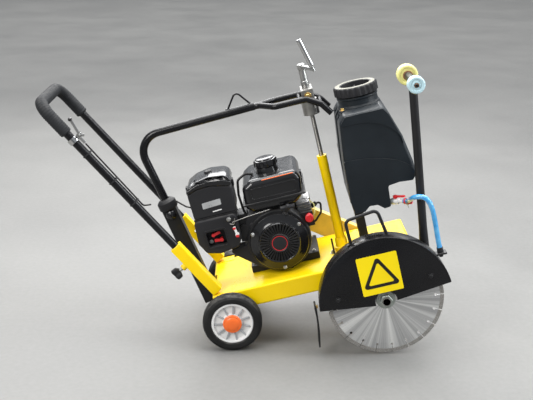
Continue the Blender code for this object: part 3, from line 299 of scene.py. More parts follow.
def rope_look():
    look = Nodes("rope")
    strands = look.node("ShaderNodeTexWave", [("Vector", look.place), ("Scale", 160.0),
                                              ("Distortion", 2.0)]).outputs["Fac"]
    look.set("Base Color", look.mix(strands, (0.02, 0.02, 0.022, 1), (0.09, 0.09, 0.095, 1)))
    look.set("Roughness", look.ramp(look.noise(500, 3.0), 0.3, 0.7, 0.7, 0.95))
    look.set("Normal", look.bump(strands, 0.5, 0.0005))
    return look.material


YELLOW = (0.98, 0.67, 0.002)
FINISHES = {
    "yellow_paint": dict(colour=YELLOW, rough=0.32, coat=0.10, tint=0.05, grain=(260, 0.10), dust=0.05,
                         wear=(0.33, 0.30, 0.26), specular=0.25),
    "worn_yellow": dict(colour=(0.70, 0.49, 0.08), rough=0.45, tint=0.20, blotch=16, grain=(180, 0.2),
                        dust=0.75, wear=(0.40, 0.36, 0.30)),
    "black_paint": dict(colour=(0.005, 0.005, 0.006), rough=0.26, coat=0.12, tint=0.3, grain=(240, 0.10),
                        dust=0.10, wear=(0.10, 0.10, 0.10), specular=0.22),
    "satin_black": dict(colour=(0.013, 0.013, 0.014), rough=0.40, coat=0.15, tint=0.3, grain=(420, 0.16),
                        dust=0.14, specular=0.22),
    "black_plastic": dict(colour=(0.018, 0.018, 0.020), rough=0.50, tint=0.2, grain=(900, 0.30),
                          dust=0.16, specular=0.22),
    "gloss_plastic": dict(colour=(0.008, 0.008, 0.009), rough=0.14, coat=0.35, tint=0.2, grain=(90, 0.03),
                          dust=0.05, specular=0.30),
    "tank_plastic": dict(colour=(0.012, 0.016, 0.020), rough=0.40, tint=0.22, blotch=9, grain=(650, 0.35),
                         dust=0.13, specular=0.28),
    "rubber": dict(colour=(0.016, 0.016, 0.016), rough=0.72, tint=0.3, blotch=20, grain=(500, 0.35),
                   dust=0.3, specular=0.15),
    "tyre": dict(colour=(0.014, 0.014, 0.014), rough=0.55, tint=0.4, blotch=18, grain=(350, 0.35),
                 dust=0.35, specular=0.18),
    "grip_rubber": dict(colour=(0.020, 0.021, 0.023), rough=0.62, tint=0.2, blotch=30, grain=(1100, 0.45),
                        dust=0.12, specular=0.15),
    "bare_steel": dict(colour=(0.34, 0.33, 0.31), rough=0.38, metal=1.0, tint=0.25, blotch=30,
                       grain=(500, 0.15), stretch=(1, 1, 8)),
    "zinc": dict(colour=(0.46, 0.46, 0.45), rough=0.30, metal=1.0, tint=0.14, blotch=40, grain=(400, 0.08)),
    "chrome": dict(colour=(0.56, 0.56, 0.56), rough=0.16, metal=1.0, tint=0.08, blotch=30,
                   grain=(200, 0.03)),
    "flange_steel": dict(colour=(0.35, 0.38, 0.35), rough=0.42, metal=0.85, tint=0.2, blotch=60,
                         grain=(600, 0.25)),
    "cast_aluminium": dict(colour=(0.50, 0.50, 0.50), rough=0.50, metal=0.9, tint=0.14, blotch=40,
                           grain=(800, 0.5)),
    "brass": dict(colour=(0.66, 0.45, 0.16), rough=0.30, metal=1.0, tint=0.2, blotch=60, grain=(500, 0.15)),
    "rust": dict(colour=(0.26, 0.14, 0.07), rough=0.8, metal=0.3, tint=0.4, blotch=90, grain=(700, 0.6)),
    "white_plastic": dict(colour=(0.74, 0.74, 0.73), rough=0.42, tint=0.06, blotch=14, grain=(700, 0.15),
                          dust=0.12),
    "grey_plastic": dict(colour=(0.36, 0.37, 0.38), rough=0.5, tint=0.10, blotch=20, grain=(700, 0.2)),
    "orange_plastic": dict(colour=(0.86, 0.15, 0.02), rough=0.34, tint=0.08, blotch=20, grain=(500, 0.1),
                           dust=0.1),
    "red_plastic": dict(colour=(0.62, 0.015, 0.02), rough=0.32, tint=0.12, blotch=40, grain=(600, 0.1)),
    "pale_yellow": dict(colour=(0.78, 0.74, 0.27), rough=0.42, tint=0.10, blotch=22, grain=(500, 0.2),
                        dust=0.12),
    "pale_blue": dict(colour=(0.50, 0.70, 0.76), rough=0.34, tint=0.10, blotch=22, grain=(500, 0.2)),
    "plate_yellow": dict(colour=(0.98, 0.74, 0.002), rough=0.34, coat=0.1, tint=0.04, blotch=10,
                         grain=(150, 0.04), specular=0.25),
    "plate_black": dict(colour=(0.010, 0.010, 0.010), rough=0.34, coat=0.3, tint=0.2, blotch=20,
                        grain=(150, 0.04), specular=0.20),
    "plate_silver": dict(colour=(0.55, 0.56, 0.57), rough=0.34, metal=0.6, tint=0.12, blotch=50,
                         grain=(300, 0.1)),
    # The tank cap's pale rim: dust together with a painted highlight along its edge.
    "cap_cream": dict(colour=(0.15, 0.145, 0.11), rough=0.5, tint=0.15, blotch=30, grain=(700, 0.25),
                      dust=0.3),
}
LOOKS = {name: surface(name, **finish) for name, finish in FINISHES.items()}
LOOKS.update(blade_steel=blade_look(), blue_hose=hose_look(), rope=rope_look())
SLOT = {name: name for name in LOOKS}
SLOT.update(worn_yellow="yellow_paint", satin_black="black_paint", chrome="zinc", flange_steel="zinc",
            brass="zinc", rust="bare_steel", grey_plastic="white_plastic", plate_yellow="yellow_paint",
            plate_black="black_paint", plate_silver="cast_aluminium", rope="rubber",
            cap_cream="black_plastic")


# ---- shapes: each is (points, faces), closed and facing out ----

def basis(axis):
    axis = np.array(axis, float) / np.linalg.norm(axis)
    side = np.cross(axis, (0, 0, 1) if abs(axis[2]) < 0.9 else (1, 0, 0))
    side = side / np.linalg.norm(side)
    return axis, side, np.cross(axis, side)


def ring_faces(first, second, sides):
    faces = []
    for i in range(sides):
        j = (i + 1) % sides
        if len(first) == 1:
            faces.append((first[0], second[j], second[i]))
        elif len(second) == 1:
            faces.append((first[i], first[j], second[0]))
        else:
            faces.append((first[i], first[j], second[j], second[i]))
    return faces


def loft(rings):
    """Joins rings of as many points into a closed shape.

    The rings run anticlockwise, seen from the last of them.
    """
    count = len(rings[0])
    points = [tuple(point) for ring in rings for point in ring]
    faces = [tuple(reversed(range(count)))]
    for start in range(0, len(points) - count, count):
        first = list(range(start, start + count))
        faces += ring_faces(first, [k + count for k in first], count)
    faces.append(tuple(range(len(points) - count, len(points))))
    return points, faces


def turns_of(count):
    return [2 * math.pi * k / count for k in range(count)]


def fillet(path, radius, steps=6, closed=False):
    """The path with its corners rounded, less where a side is too short."""
    path = [np.array(point, float) for point in path]
    count = len(path)
    result = [] if closed else [path[0]]
    for k in range(0 if closed else 1, count if closed else count - 1):
        before, corner, after = path[k - 1], path[k], path[(k + 1) % count]
        first, last = before - corner, after - corner
        reach = 0.49 * min(np.linalg.norm(first), np.linalg.norm(last))
        first, last = first / np.linalg.norm(first), last / np.linalg.norm(last)
        half = math.acos(max(-1.0, min(1.0, float(first @ last)))) / 2
        if half > math.radians(89):
            result.append(corner)
            continue
        back = min(radius / math.tan(half), reach)
        middle = (first + last) / np.linalg.norm(first + last)
        heart = corner + middle * back / math.cos(half)
        start, end = corner + first * back - heart, corner + last * back - heart
        turn = math.pi - 2 * half
        for i in range(steps + 1):
            part = i / steps
            mixed = math.sin((1 - part) * turn) * start + math.sin(part * turn) * end
            result.append(heart + mixed / math.sin(turn))
    return result if closed else result + [path[-1]]


def lathe(middle, axis, profile, sides=72, round_off=0.0):
    """Turns (along, radius) points round an axis; radius 0 at both ends closes it."""
    if round_off:
        hollow = profile[0][1] > 0
        profile = fillet(profile, round_off, 4, hollow)
    axis, side, up = basis(axis)
    points, rings = [], []
    for along, radius in profile:
        at = np.add(middle, axis * along)
        if radius < 1e-7:
            rings.append([len(points)])
            points.append(tuple(at))
            continue
        rings.append(list(range(len(points), len(points) + sides)))
        points += [tuple(at + radius * (side * math.cos(t) + up * math.sin(t))) for t in turns_of(sides)]
    hollow = len(rings[0]) > 1
    pairs = list(zip(rings, rings[1:] + rings[:1])) if hollow else list(zip(rings, rings[1:]))
    faces = [face for first, second in pairs for face in ring_faces(first, second, sides)]
    return points, faces


def rod(start, end, radius, sides=40, edge=0.0008):
    length = float(np.linalg.norm(np.subtract(end, start)))
    edge = min(edge, radius / 3, length / 3)
    profile = [(0, 0), (0, radius - edge), (edge, radius), (length - edge, radius),
               (length, radius - edge), (length, 0)]
    return lathe(start, np.subtract(end, start), profile, sides)


def pipe(path, radius, sides=24):
    """A bar swept along the path; radius is one number or one for each point."""
    path = [np.array(point, float) for point in path]
    radii = [radius] * len(path) if np.isscalar(radius) else radius
    headings = [b - a for a, b in zip(path, path[1:])]
    headings = [h / np.linalg.norm(h) for h in headings]
    _, side, _ = basis(headings[0])
    rings = []
    for i, point in enumerate(path):
        tangent = headings[max(i - 1, 0)] + headings[min(i, len(headings) - 1)]
        tangent = tangent / np.linalg.norm(tangent)
        side = side - tangent * float(side @ tangent)
        side = side / np.linalg.norm(side)
        up = np.cross(tangent, side)
        rings.append([point + radii[i] * (side * math.cos(t) + up * math.sin(t)) for t in turns_of(sides)])
    return loft(rings)


def prism(outline, v_from, v_to, corner=0.0, steps=6):
    """An outline of (u, n) points, anticlockwise seen from the blade's side."""
    if corner:
        outline = fillet(outline, corner, steps, True)
    count = len(outline)
    points = [(u, v, n) for v in (v_from, v_to) for u, n in outline]
    faces = [tuple(range(count)), tuple(reversed(range(count, 2 * count)))]
    for i in range(count):
        j = (i + 1) % count
        faces.append((j, i, i + count, j + count))
    return points, faces


def box(low, high):
    outline = [(low[0], low[2]), (high[0], low[2]), (high[0], high[2]), (low[0], high[2])]
    return prism(outline, low[1], high[1])


def bar(start, end, side, v_from, v_to):
    along = np.subtract(end, start)
    along = along / np.linalg.norm(along)
    across = np.array((along[1], -along[0])) * side / 2
    corners = [np.add(start, across), np.add(end, across), np.subtract(end, across),
               np.subtract(start, across)]
    return prism(corners, v_from, v_to)


def arc(middle, radius, start, end, steps):
    turns = [math.radians(start + (end - start) * i / steps) for i in range(steps + 1)]
    return [(middle[0] + radius * math.cos(t), middle[1] + radius * math.sin(t)) for t in turns]


def hexagon(start, axis, width, height):
    """A hexagon nut or bolt head with its corners turned off."""
    radius = width / math.sqrt(3)
    profile = [(0, 0), (0, radius), (height * 0.8, radius), (height, radius * 0.86), (height, 0)]
    return lathe(start, axis, profile, 6)


def bolt(start, axis, width, shaft=0.0):
    """A hexagon head on its washer, with a short end of thread."""
    unit = basis(axis)[0]
    shapes = [rod(start, np.add(start, unit * width * 0.12), width * 0.85, 32)]
    shapes.append(hexagon(np.add(start, unit * width * 0.12), axis, width, width * 0.55))
    if shaft:
        shapes.append(rod(np.add(start, unit * width * 0.5), np.add(start, unit * (width * 0.67 + shaft)),
                          width * 0.28, 20))
    return shapes


def flat(u_n, v):
    return (float(u_n[0]), float(v), float(u_n[1]))


# ---- pieces ----

def merged(name, shapes):
    """One mesh of closed shapes, moved from the chassis frame into the row's."""
    points, faces = [], []
    for some_points, some_faces in shapes:
        faces += [tuple(k + len(points) for k in face) for face in some_faces]
        points += [tuple(CHASSIS @ Vector(point)) for point in some_points]
    mesh = bpy.data.meshes.new(name)
    mesh.from_pydata(points, [], faces)
    mesh.update()
    return mesh


def piece(name, shapes, look, body="chassis", bevel=0.0, stands_for=(), segments=3, sharp=32, level=0):
    """One object from closed shapes, in its finish, riding on its CAD body."""
    mesh = merged(name, [shapes] if isinstance(shapes, tuple) else shapes)
    mesh.materials.append(LOOKS[look])
    mesh.polygons.foreach_set("use_smooth", [True] * len(mesh.polygons))
    item = add(name, mesh)
    if bevel:
        step = item.modifiers.new("edges", "BEVEL")
        step.width = bevel
        step.segments = segments
        step.limit_method = "ANGLE"
        step.angle_limit = math.radians(sharp)
        step.harden_normals = True
        step.use_clamp_overlap = True
    if level:
        step = item.modifiers.new("round", "SUBSURF")
        step.levels = level
        step.render_levels = level
    if not level:
        mesh.set_sharp_from_angle(angle=math.radians(sharp))
    if stands_for:
        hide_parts(*([stands_for] if isinstance(stands_for, str) else stands_for))
    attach(item, body)
    return item


def carve(item, shapes):
    """Cuts closed shapes out of a piece."""
    tool = add(item.name + "_cutter", merged(item.name + "_cutter", shapes))
    step = item.modifiers.new("cut", "BOOLEAN")
    step.solver = "EXACT"
    step.object = tool
    apply_modifiers(item)
    bpy.data.objects.remove(tool, do_unlink=True)
    return item


def apply_modifiers(item):
    graph = bpy.context.evaluated_depsgraph_get()
    mesh = bpy.data.meshes.new_from_object(item.evaluated_get(graph))
    item.modifiers.clear()
    item.data = mesh


def finish_node(look, *names):
    """Gives CAD nodes whose shape is right their finished surface."""
    for name in names:
        materials = NODES[name].data.materials
        materials.clear()
        materials.append(LOOKS[look])


# ---- hose, first because it has to lie where its CAD solid does ----

def bezier(a, b, c, d, t):
    s = 1 - t
    return s ** 3 * a + 3 * s * s * t * b + 3 * s * t * t * c + t ** 3 * d


def hose_path():
    """The route of the CAD hose: valve, round the pointer, down to the guard's nipple."""
    start = VALVE_AT + VALVE_AXIS * 0.0432
    crossing = np.array((0.022, -0.012, 0.002))
    above_end = HOSE_END + (0.0, 0.0, 0.105)
    first = (start, start + VALVE_AXIS * 0.030, HOSE_MIDDLE - crossing, HOSE_MIDDLE)
    last = (HOSE_MIDDLE, HOSE_MIDDLE + crossing * 2.2, above_end, HOSE_END)
    steps = 15
    path = [bezier(*first, i / steps) for i in range(steps)]
    return path + [bezier(*last, i / steps) for i in range(steps + 1)]


def water_hose():
    path = [CHASSIS @ Vector(point) for point in hose_path()]
    curve = bpy.data.curves.new("water_hose_tube", "CURVE")
    curve.dimensions = "3D"
    curve.bevel_depth = HOSE_RADIUS
    curve.bevel_resolution = 8
    curve.use_fill_caps = True
    curve.resolution_u = 1
    line = curve.splines.new("POLY")
    line.points.add(len(path) - 1)
    for point, place in zip(line.points, path):
        point.co = (*place, 1.0)
    line.use_smooth = True
    curve.materials.append(LOOKS["blue_hose"])
    hose = add("water_hose_tube", curve)
    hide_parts("water_hose")
    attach(hose, "chassis")


# ---- chassis ----

def deck():
    low = (DECK_U[0], DECK_V[0], DECK_N[0])
    high = (DECK_U[1], DECK_V[1], DECK_N[1])
    pan = piece("deck_pan", box(low, high), "yellow_paint", bevel=0.006, segments=4,
                stands_for="chassis_deck")
    inner_low, inner_high = np.add(low, (0.005, 0.005, -0.02)), np.subtract(high, 0.005)
    slot = box((low[0] - 0.01, MID - 0.023, 0.0), (low[0] + 0.01, MID + 0.023, 0.1))
    hole = rod((SPINDLE_U, MID, 0.06), (SPINDLE_U, MID, 0.12), 0.017)
    carve(pan, [box(inner_low, inner_high)])
    carve(pan, [slot, hole])
    top = DECK_N[1]
    profile = [(0, 0.026), (0.012, 0.026), (0.014, 0.020), (0.041, 0.0185), (0.041, 0.0160), (0, 0.0160)]
    socket = lathe((SPINDLE_U, MID, top), (0, 0, 1), profile, 64, 0.0012)
    tab = [box((SPINDLE_U + 0.016, MID - 0.046, top), (SPINDLE_U + 0.040, MID - 0.041, top + 0.034))]
    brackets = []
    for v in (0.0846, 0.3954):
        shape = [(-0.012, -0.012), (0.012, -0.012), (0.03, 0.020), (0.03, 0.03), (-0.03, 0.03),
                 (-0.03, 0.020)]
        brackets.append(prism(shape, v - 0.004, v + 0.004, 0.006))
    piece("leg_socket", [socket] + tab, "yellow_paint", bevel=0.0006)
    piece("axle_brackets", brackets, "yellow_paint", bevel=0.001)
    stiff = [box((DECK_U[0] + 0.02, v - 0.002, 0.030), (DECK_U[1] - 0.02, v + 0.002,
                                                        0.0752)) for v in (0.17, 0.31)]
    piece("deck_stiffeners", stiff, "yellow_paint", bevel=0.0008)
    bolts = []
    for u, v in ((SPINDLE_U - 0.034, MID - 0.020), (SPINDLE_U + 0.032, MID + 0.022), (0.10, 0.215),
                 (0.29, 0.215),
                 (0.10, 0.352), (0.29, 0.352)):
        raised = 0.020 if u in (0.10, 0.29) else 0.0002
        bolts += bolt((u, v, top + raised), (0, 0, 1), 0.011, 0.003)
    for u in (0.435, 0.503):
        bolts += bolt((u, 0.0802, 0.036), (0, -1, 0), 0.011)
    piece("deck_bolts", bolts, "zinc")
    rod_beside = pipe([(SPINDLE_U - 0.030, MID - 0.030, top), (SPINDLE_U - 0.029, MID - 0.030, 0.132)],
                      0.003)
    piece("leg_scale_rod", rod_beside, "satin_black")


def tank_post():
    post = box((0.4410, MID - 0.03, 0.0800), (0.4690, MID + 0.03, 0.2230))
    foot = box((0.4250, MID - 0.05, 0.0801), (0.4900, MID + 0.05, 0.0860))
    piece("tank_post", [post, foot], "satin_black", bevel=0.002)
    feet = [shape for v in (MID - 0.04, MID + 0.04) for shape in bolt((0.482, v, 0.086), (0, 0, 1), 0.009)]
    piece("tank_post_bolts", feet, "zinc")


def pointer_bracket():
    u, n = POINTER_PIVOT
    near, far = 0.0803, 0.0862
    outline = [(DECK_U[1] - 0.06, 0.034), (DECK_U[1] + 0.006, 0.034), (u + 0.014, n - 0.004),
               (u + 0.014, n + 0.014),
               (u - 0.014, n + 0.014), (DECK_U[1] - 0.06, 0.079)]
    piece("pointer_plate", prism(outline, near, far, 0.006), "satin_black", bevel=0.001)
    pin = [rod((u, 0.0515, n), (u, near + 0.002, n), 0.0050)]
    pin += bolt((u, 0.0512, n), (0, -1, 0), 0.010)
    pin += bolt((DECK_U[1] - 0.045, near, 0.048), (0, -1, 0), 0.009)
    piece("pointer_pivot_bolt", pin, "zinc")


def rear_wheel(prefix, out):
    tyre_low, tyre_high = span(prefix + "_tyre")
    v = float((tyre_low + tyre_high)[1] / 2)
    half, radius = float(tyre_high[1] - tyre_low[1]) / 2, float(tyre_high[0])
    tyre = [(-half + 0.004, 0.0645), (-half, 0.067), (-half, 0.079), (-0.86 * half, 0.0862),
            (-0.45 * half, radius)]
    for groove in (-0.30, 0.0, 0.30):
        for step, depth in ((-0.05, 0), (-0.03, 0.0014), (0.03, 0.0014), (0.05, 0)):
            tyre.append(((groove + step) * half, radius - depth))
    tyre += [(0.45 * half, radius), (0.86 * half, 0.0862), (half, 0.079), (half, 0.067),
             (half - 0.004, 0.0645)]
    piece(prefix + "_tread", lathe((0, v, 0), (0, 1, 0), tyre, 96, 0.0022), "tyre", prefix,
          stands_for=prefix + "_tyre")
    turn = (0, out, 0)
    dish = [(-0.6 * half, 0.0098), (-0.6 * half, 0.0642), (0.84 * half, 0.0642), (0.90 * half, 0.0615),
            (0.86 * half, 0.0575), (0.55 * half, 0.0550), (0.50 * half, 0.0310), (0.80 * half, 0.0290),
            (0.80 * half, 0.0098)]
    piece(prefix + "_disc", lathe((0, v, 0), turn, dish, 88, 0.0016), "white_plastic", prefix,
          stands_for=prefix + "_hub")
    ribs = []
    for i in range(11):
        angle = 2 * math.pi * (i + 0.25) / 11
        inner = (0.0300 * math.cos(angle), 0.0300 * math.sin(angle))
        outer = (0.0560 * math.cos(angle), 0.0560 * math.sin(angle))
        ends = sorted((v + out * 0.48 * half, v + out * 0.78 * half))
        ribs.append(bar(inner, outer, 0.0046, *ends))
    piece(prefix + "_ribs", ribs, "grey_plastic", prefix, bevel=0.0007)
    start = (0, v + out * (half * 0.80 + 0.0004), 0)
    dome = [(0, 0), (0, 0.0288), (0.0045, 0.0288), (0.0068, 0.0262), (0.0070, 0.0225), (0.0092, 0.0195),
            (0.0110, 0.0140), (0.0118, 0.0070), (0.0120, 0)]
    cap = lathe(start, turn, dome, 72, 0.0008)
    marks = []
    for i in range(4):
        angle = math.pi * (i + 0.5) / 2
        at = (0.0245 * math.cos(angle), start[1] + out * 0.0062, 0.0245 * math.sin(angle))
        marks.append(rod(at, np.add(at, (0, out * 0.0018, 0)), 0.0019, 16))
    piece(prefix + "_dome", [cap] + marks, "orange_plastic", prefix, stands_for=prefix + "_cap")


def front_wheel(name, body):
    low, high = span(name)
    middle = tuple((low + high) / 2)
    half, radius = float(high[1] - low[1]) / 2, float(high[0] - low[0]) / 2
    tread = [(-0.92 * half, 0.0350), (-half, 0.041), (-0.62 * half, radius), (-0.1 * half, radius),
             (0, radius - 0.001),
             (0.1 * half, radius), (0.62 * half, radius), (half, 0.041), (0.92 * half, 0.0350)]
    piece(name + "_tread", lathe(middle, (0, 1, 0), tread, 72, 0.0015), "tyre", body, stands_for=name)
    core = [(-half, 0.0074), (-half, 0.017), (-0.4 * half, 0.020), (-0.4 * half, 0.0335),
            (-0.95 * half, 0.0352),
            (0.95 * half, 0.0352), (0.4 * half, 0.0335), (0.4 * half, 0.020), (half, 0.017), (half, 0.0074)]
    piece(name + "_core", lathe(middle, (0, 1, 0), core, 64, 0.001), "grey_plastic", body)


def column():
    along = (COLUMN_TOP - COLUMN_FOOT) / np.linalg.norm(COLUMN_TOP - COLUMN_FOOT)
    post = bar(COLUMN_FOOT, COLUMN_TOP, 0.046, MID - 0.020, MID + 0.020)
    base, unit = flat(COLUMN_TOP - along * 0.003, MID), flat(along, 0)
    ring = [(0, 0.0127), (0, 0.028), (0.004, 0.030), (0.024, 0.030), (0.030, 0.024), (0.034, 0.018),
            (0.034, 0.0127)]
    piece("column_post", post, "satin_black", bevel=0.0035, segments=4, stands_for="rear_column")
    piece("column_collar", lathe(base, unit, ring, 64, 0.0015), "black_plastic")
    at = flat(COLUMN_TOP + (0.004, -0.02), MID - 0.016)
    dome = [(0, 0), (0, 0.016), (0.008, 0.0162), (0.012, 0.0135), (0.0155, 0.007), (0.017, 0)]
    piece("column_dome_nut", lathe(at, (0, -1, 0), dome, 48, 0.001), "gloss_plastic")


def upper_arm():
    start = flat(COLUMN_TOP + ARM_RISE * 0.0165, MID)
    path = fillet([start, (-0.168, MID, 0.585), (0.215, MID, 0.597)], 0.065, 18)
    shapes = [pipe(path, TUBE_R, 32)]
    for side in (-1, 1):
        v = MID + side * 0.052
        corners = [(0.188, MID + side * 0.003, 0.5950), (0.228, MID + side * 0.003, 0.596),
                   (0.275, v, 0.590)]
        corners += [(0.375, v, 0.590), (0.415, v, 0.566), (0.4385, v, 0.532)]
        shapes.append(pipe(fillet(corners, 0.025, 8), 0.0095, 24))
    for u, n in ((0.353, 0.589), (0.4140, 0.566)):
        shapes.append(rod((u, MID - 0.052, n), (u, MID + 0.052, n), 0.006))
    piece("arm_tubes", shapes, "black_paint", stands_for="upper_arm")
    hook = fillet([(0.129, MID, 0.6000), (0.168, MID, 0.655), (0.209, MID, 0.6010)], 0.012, 8)
    welds = [lathe((u, MID, 0.6045), (0, 0, 1), [(0, 0), (0, 0.006), (0.004, 0.0045), (0.006, 0)],
                   20) for u in (0.130, 0.208)]
    piece("arm_hook", [pipe(hook, 0.003, 18)] + welds, "black_paint")


def spindle():
    finish_node("bare_steel", "spindle_block")
    bolt_at = (SPINDLE_U - 0.0002, MID - 0.0424, 0.597)
    piece("block_bolt", bolt(bolt_at, (0, -1, 0), 0.013), "brass")
    sides, turns, pitch, start = 24, 58, 0.005, 0.300
    rings = []
    for row in range(turns * 6 + 1):
        n = start + pitch * row / 6
        ring = []
        for k, turn in enumerate(turns_of(sides)):
            phase = (n / pitch - k / sides) % 1.0
            radius = 0.0072 - 0.0012 * abs(2 * phase - 1)
            ring.append((SPINDLE_U + radius * math.cos(turn), MID + radius * math.sin(turn), n))
        rings.append(ring)
    piece("screw_thread", loft(rings), "bare_steel", "crank", stands_for="depth_screw", sharp=75)
    stem = [(0.583, 0), (0.583, 0.0078), (0.6175, 0.0078), (0.6175, 0.0125), (0.636, 0.0125),
            (0.638, 0.0112),
            (0.672, 0.0112), (0.674, 0.0125), (0.688, 0.0125), (0.691, 0.009), (0.691, 0)]
    shapes = [lathe((SPINDLE_U, MID, 0), (0, 0, 1), stem, 48, 0.0006)]
    tip = np.array((0.414, MID - 0.060, 0.676))
    lean = np.array((-0.242, 0.0, 0.970))
    arm = [np.array((SPINDLE_U, MID, 0.680)), np.array((0.392, MID - 0.020, 0.6795)), tip]
    shapes.append(pipe(fillet(arm, 0.01, 5), 0.0065, 24))
    shapes.append(rod(tip - lean * 0.008, tip + lean * 0.092, 0.0040, 24))
    piece("crank_stem", shapes, "zinc", "crank")
    grip = [(0, 0.0046), (0, 0.0078), (0.006, 0.0088), (0.040, 0.0082), (0.084, 0.0088), (0.090, 0.0078),
            (0.090, 0.0046)]
    piece("crank_sleeve", lathe(tip + lean * 0.0085, lean, grip, 40, 0.0006), "chrome", "crank_handle",
          stands_for="crank_grip")


def leg():
    low, high = span("leg_tube")
    foot, axle_n = float(low[2]), float(centre("near_front_wheel")[2])
    top = float(high[2])
    profile = [(foot, 0), (foot, 0.0150), (top - 0.045, 0.0150), (top - 0.043, 0.0156), (top, 0.0156),
               (top, 0.0078),
               (0.155, 0.0078), (0.155, 0)]
    piece("leg_sleeve", lathe((SPINDLE_U, MID, 0), (0, 0, 1), profile, 56, 0.001), "yellow_paint", "leg",
          stands_for="leg_tube")
    reach = float(high[1] - low[1]) / 2
    axle = rod((SPINDLE_U, MID - reach, axle_n), (SPINDLE_U, MID + reach, axle_n), 0.0068)
    piece("front_axle_bar", axle, "zinc", "leg")


def knob(prefix, v):
    def at(distance):
        return flat(SLEEVE_FOOT + HANDLE_ALONG * CLAMP_AT + HANDLE_BACK * distance, v)

    axis = flat(HANDLE_BACK, 0)
    body = prefix + "_knob"
    reach = TUBE_R + 0.0008
    stem = [rod(at(reach), at(reach + 0.034), 0.0044, 24), rod(at(reach + 0.0165), at(reach + 0.0195),
                                                               0.0085, 32)]
    piece(prefix + "_knob_stem", stem, "zinc", body)
    axis_unit, side, up = basis(axis)
    heart = np.array(at(TUBE_R + 0.0418))
    rings = []
    rows = ((-0.0105, 0.55), (-0.0085, 0.86), (-0.006, 0.97), (0.005, 1.0), (0.0085, 0.94), (0.0105, 0.80))
    for offset, shrink in rows:
        ring = []
        for turn in turns_of(60):
            radius = (0.0158 + 0.0050 * math.cos(3 * turn)) * shrink
            ring.append(heart + axis_unit * offset + radius * (side * math.cos(turn) + up * math.sin(turn)))
        rings.append(ring)
    piece(prefix + "_knob_head", loft(rings), "black_plastic", body, stands_for=prefix + "_clamp_knob",
          sharp=50)
    screw = lathe(heart + axis_unit * 0.0103, axis, [(0, 0), (0, 0.0052), (0.0015, 0.0046), (0.0022, 0)],
                  24)
    piece(prefix + "_knob_screw", screw, "zinc", body)


# ---- handle ----

def handle_path(low):
    """From this place on the near leg, round the bow, to the same place on the far leg."""
    near, far = HANDLE_V
    path = [flat(low, near), flat(HANDLE_CORNER, near), flat(HANDLE_CORNER, far), flat(low, far)]
    return fillet(path, 0.045, 18)


def handle():
    along, back = HANDLE_ALONG, HANDLE_BACK
    near = HANDLE_V[0]
    bow = pipe(handle_path(SLEEVE_FOOT + along * 0.045), TUBE_R, 32)
    piece("handle_bow", bow, "black_paint", "handle", stands_for="handle_tube")
    fine = even(handle_path(HANDLE_CORNER - along * 0.115), 0.0022)
    radii = [0.0184 + 0.0006 * (1 if i % 3 else -1) for i in range(len(fine))]
    for k, radius in enumerate((0.0135, 0.0172, 0.0188)):
        radii[k] = radii[-1 - k] = radius
    piece("grip_foam", pipe(fine, radii, 32), "grip_rubber", "handle", stands_for="handle_grip", sharp=60)
    finish_node("chrome", "throttle_clamp", "throttle_lever")
    at = HANDLE_CORNER - along * 0.142 - back * 0.0270
    tip = flat(at - back * 0.012 + along * 0.052, near - 0.0074)
    ball = [(-0.0065 * math.cos(math.pi * i / 12), 0.0065 * math.sin(math.pi * i / 12)) for i in range(13)]
    piece("lever_ball", lathe(tip, (0, 1, 0), ball, 24), "gloss_plastic", "throttle")
    screws = bolt(flat(at, near - 0.0110), (0, -1, 0), 0.0066)
    piece("clamp_screw", screws, "zinc", "handle")
    start = HANDLE_CORNER - along * 0.1725 - back * 0.0205
    low = HANDLE_CORNER - along * 0.425 - back * 0.0165
    turn = low - along * 0.014
    path = [flat(start, near), flat(low, near), (float(turn[0]) + 0.010, near + 0.030,
                                                 float(turn[1]) + 0.002)]
    piece("cable_upper", pipe(fillet(path, 0.012, 8), 0.0025, 16), "rubber", "handle",
          stands_for="throttle_cable_upper")
    ties = []
    for distance in (0.20, 0.31, 0.40):
        spot = HANDLE_CORNER - along * distance - back * 0.003
        ties.append(lathe(flat(spot - along * 0.002, near), flat(along, 0), [(0, 0.0128), (0, 0.0172),
                                                                             (0.004, 0.0172),
                                                                             (0.004, 0.0128)], 32))
    piece("cable_ties", ties, "black_plastic", "handle")


def even(path, step):
    """Points this far apart along a path."""
    path = np.array(path)
    lengths = np.concatenate([[0], np.cumsum(np.linalg.norm(np.diff(path, axis=0), axis=1))])
    wanted = np.linspace(0, lengths[-1], int(lengths[-1] / step) + 1)
    return np.column_stack([np.interp(wanted, lengths, path[:, k]) for k in range(3)])


def lower_cable():
    start = flat(COLUMN_TOP + ARM_RISE * 0.018, MID)
    path = [(start[0] + 0.0315, MID - 0.010, start[2]), (-0.068, 0.215, 0.342), (-0.0447, 0.200, 0.335)]
    piece("cable_lower", pipe(fillet(path, 0.020, 8), 0.0025, 16), "rubber",
          stands_for="throttle_cable_lower")


# ---- blade, guard and drive ----

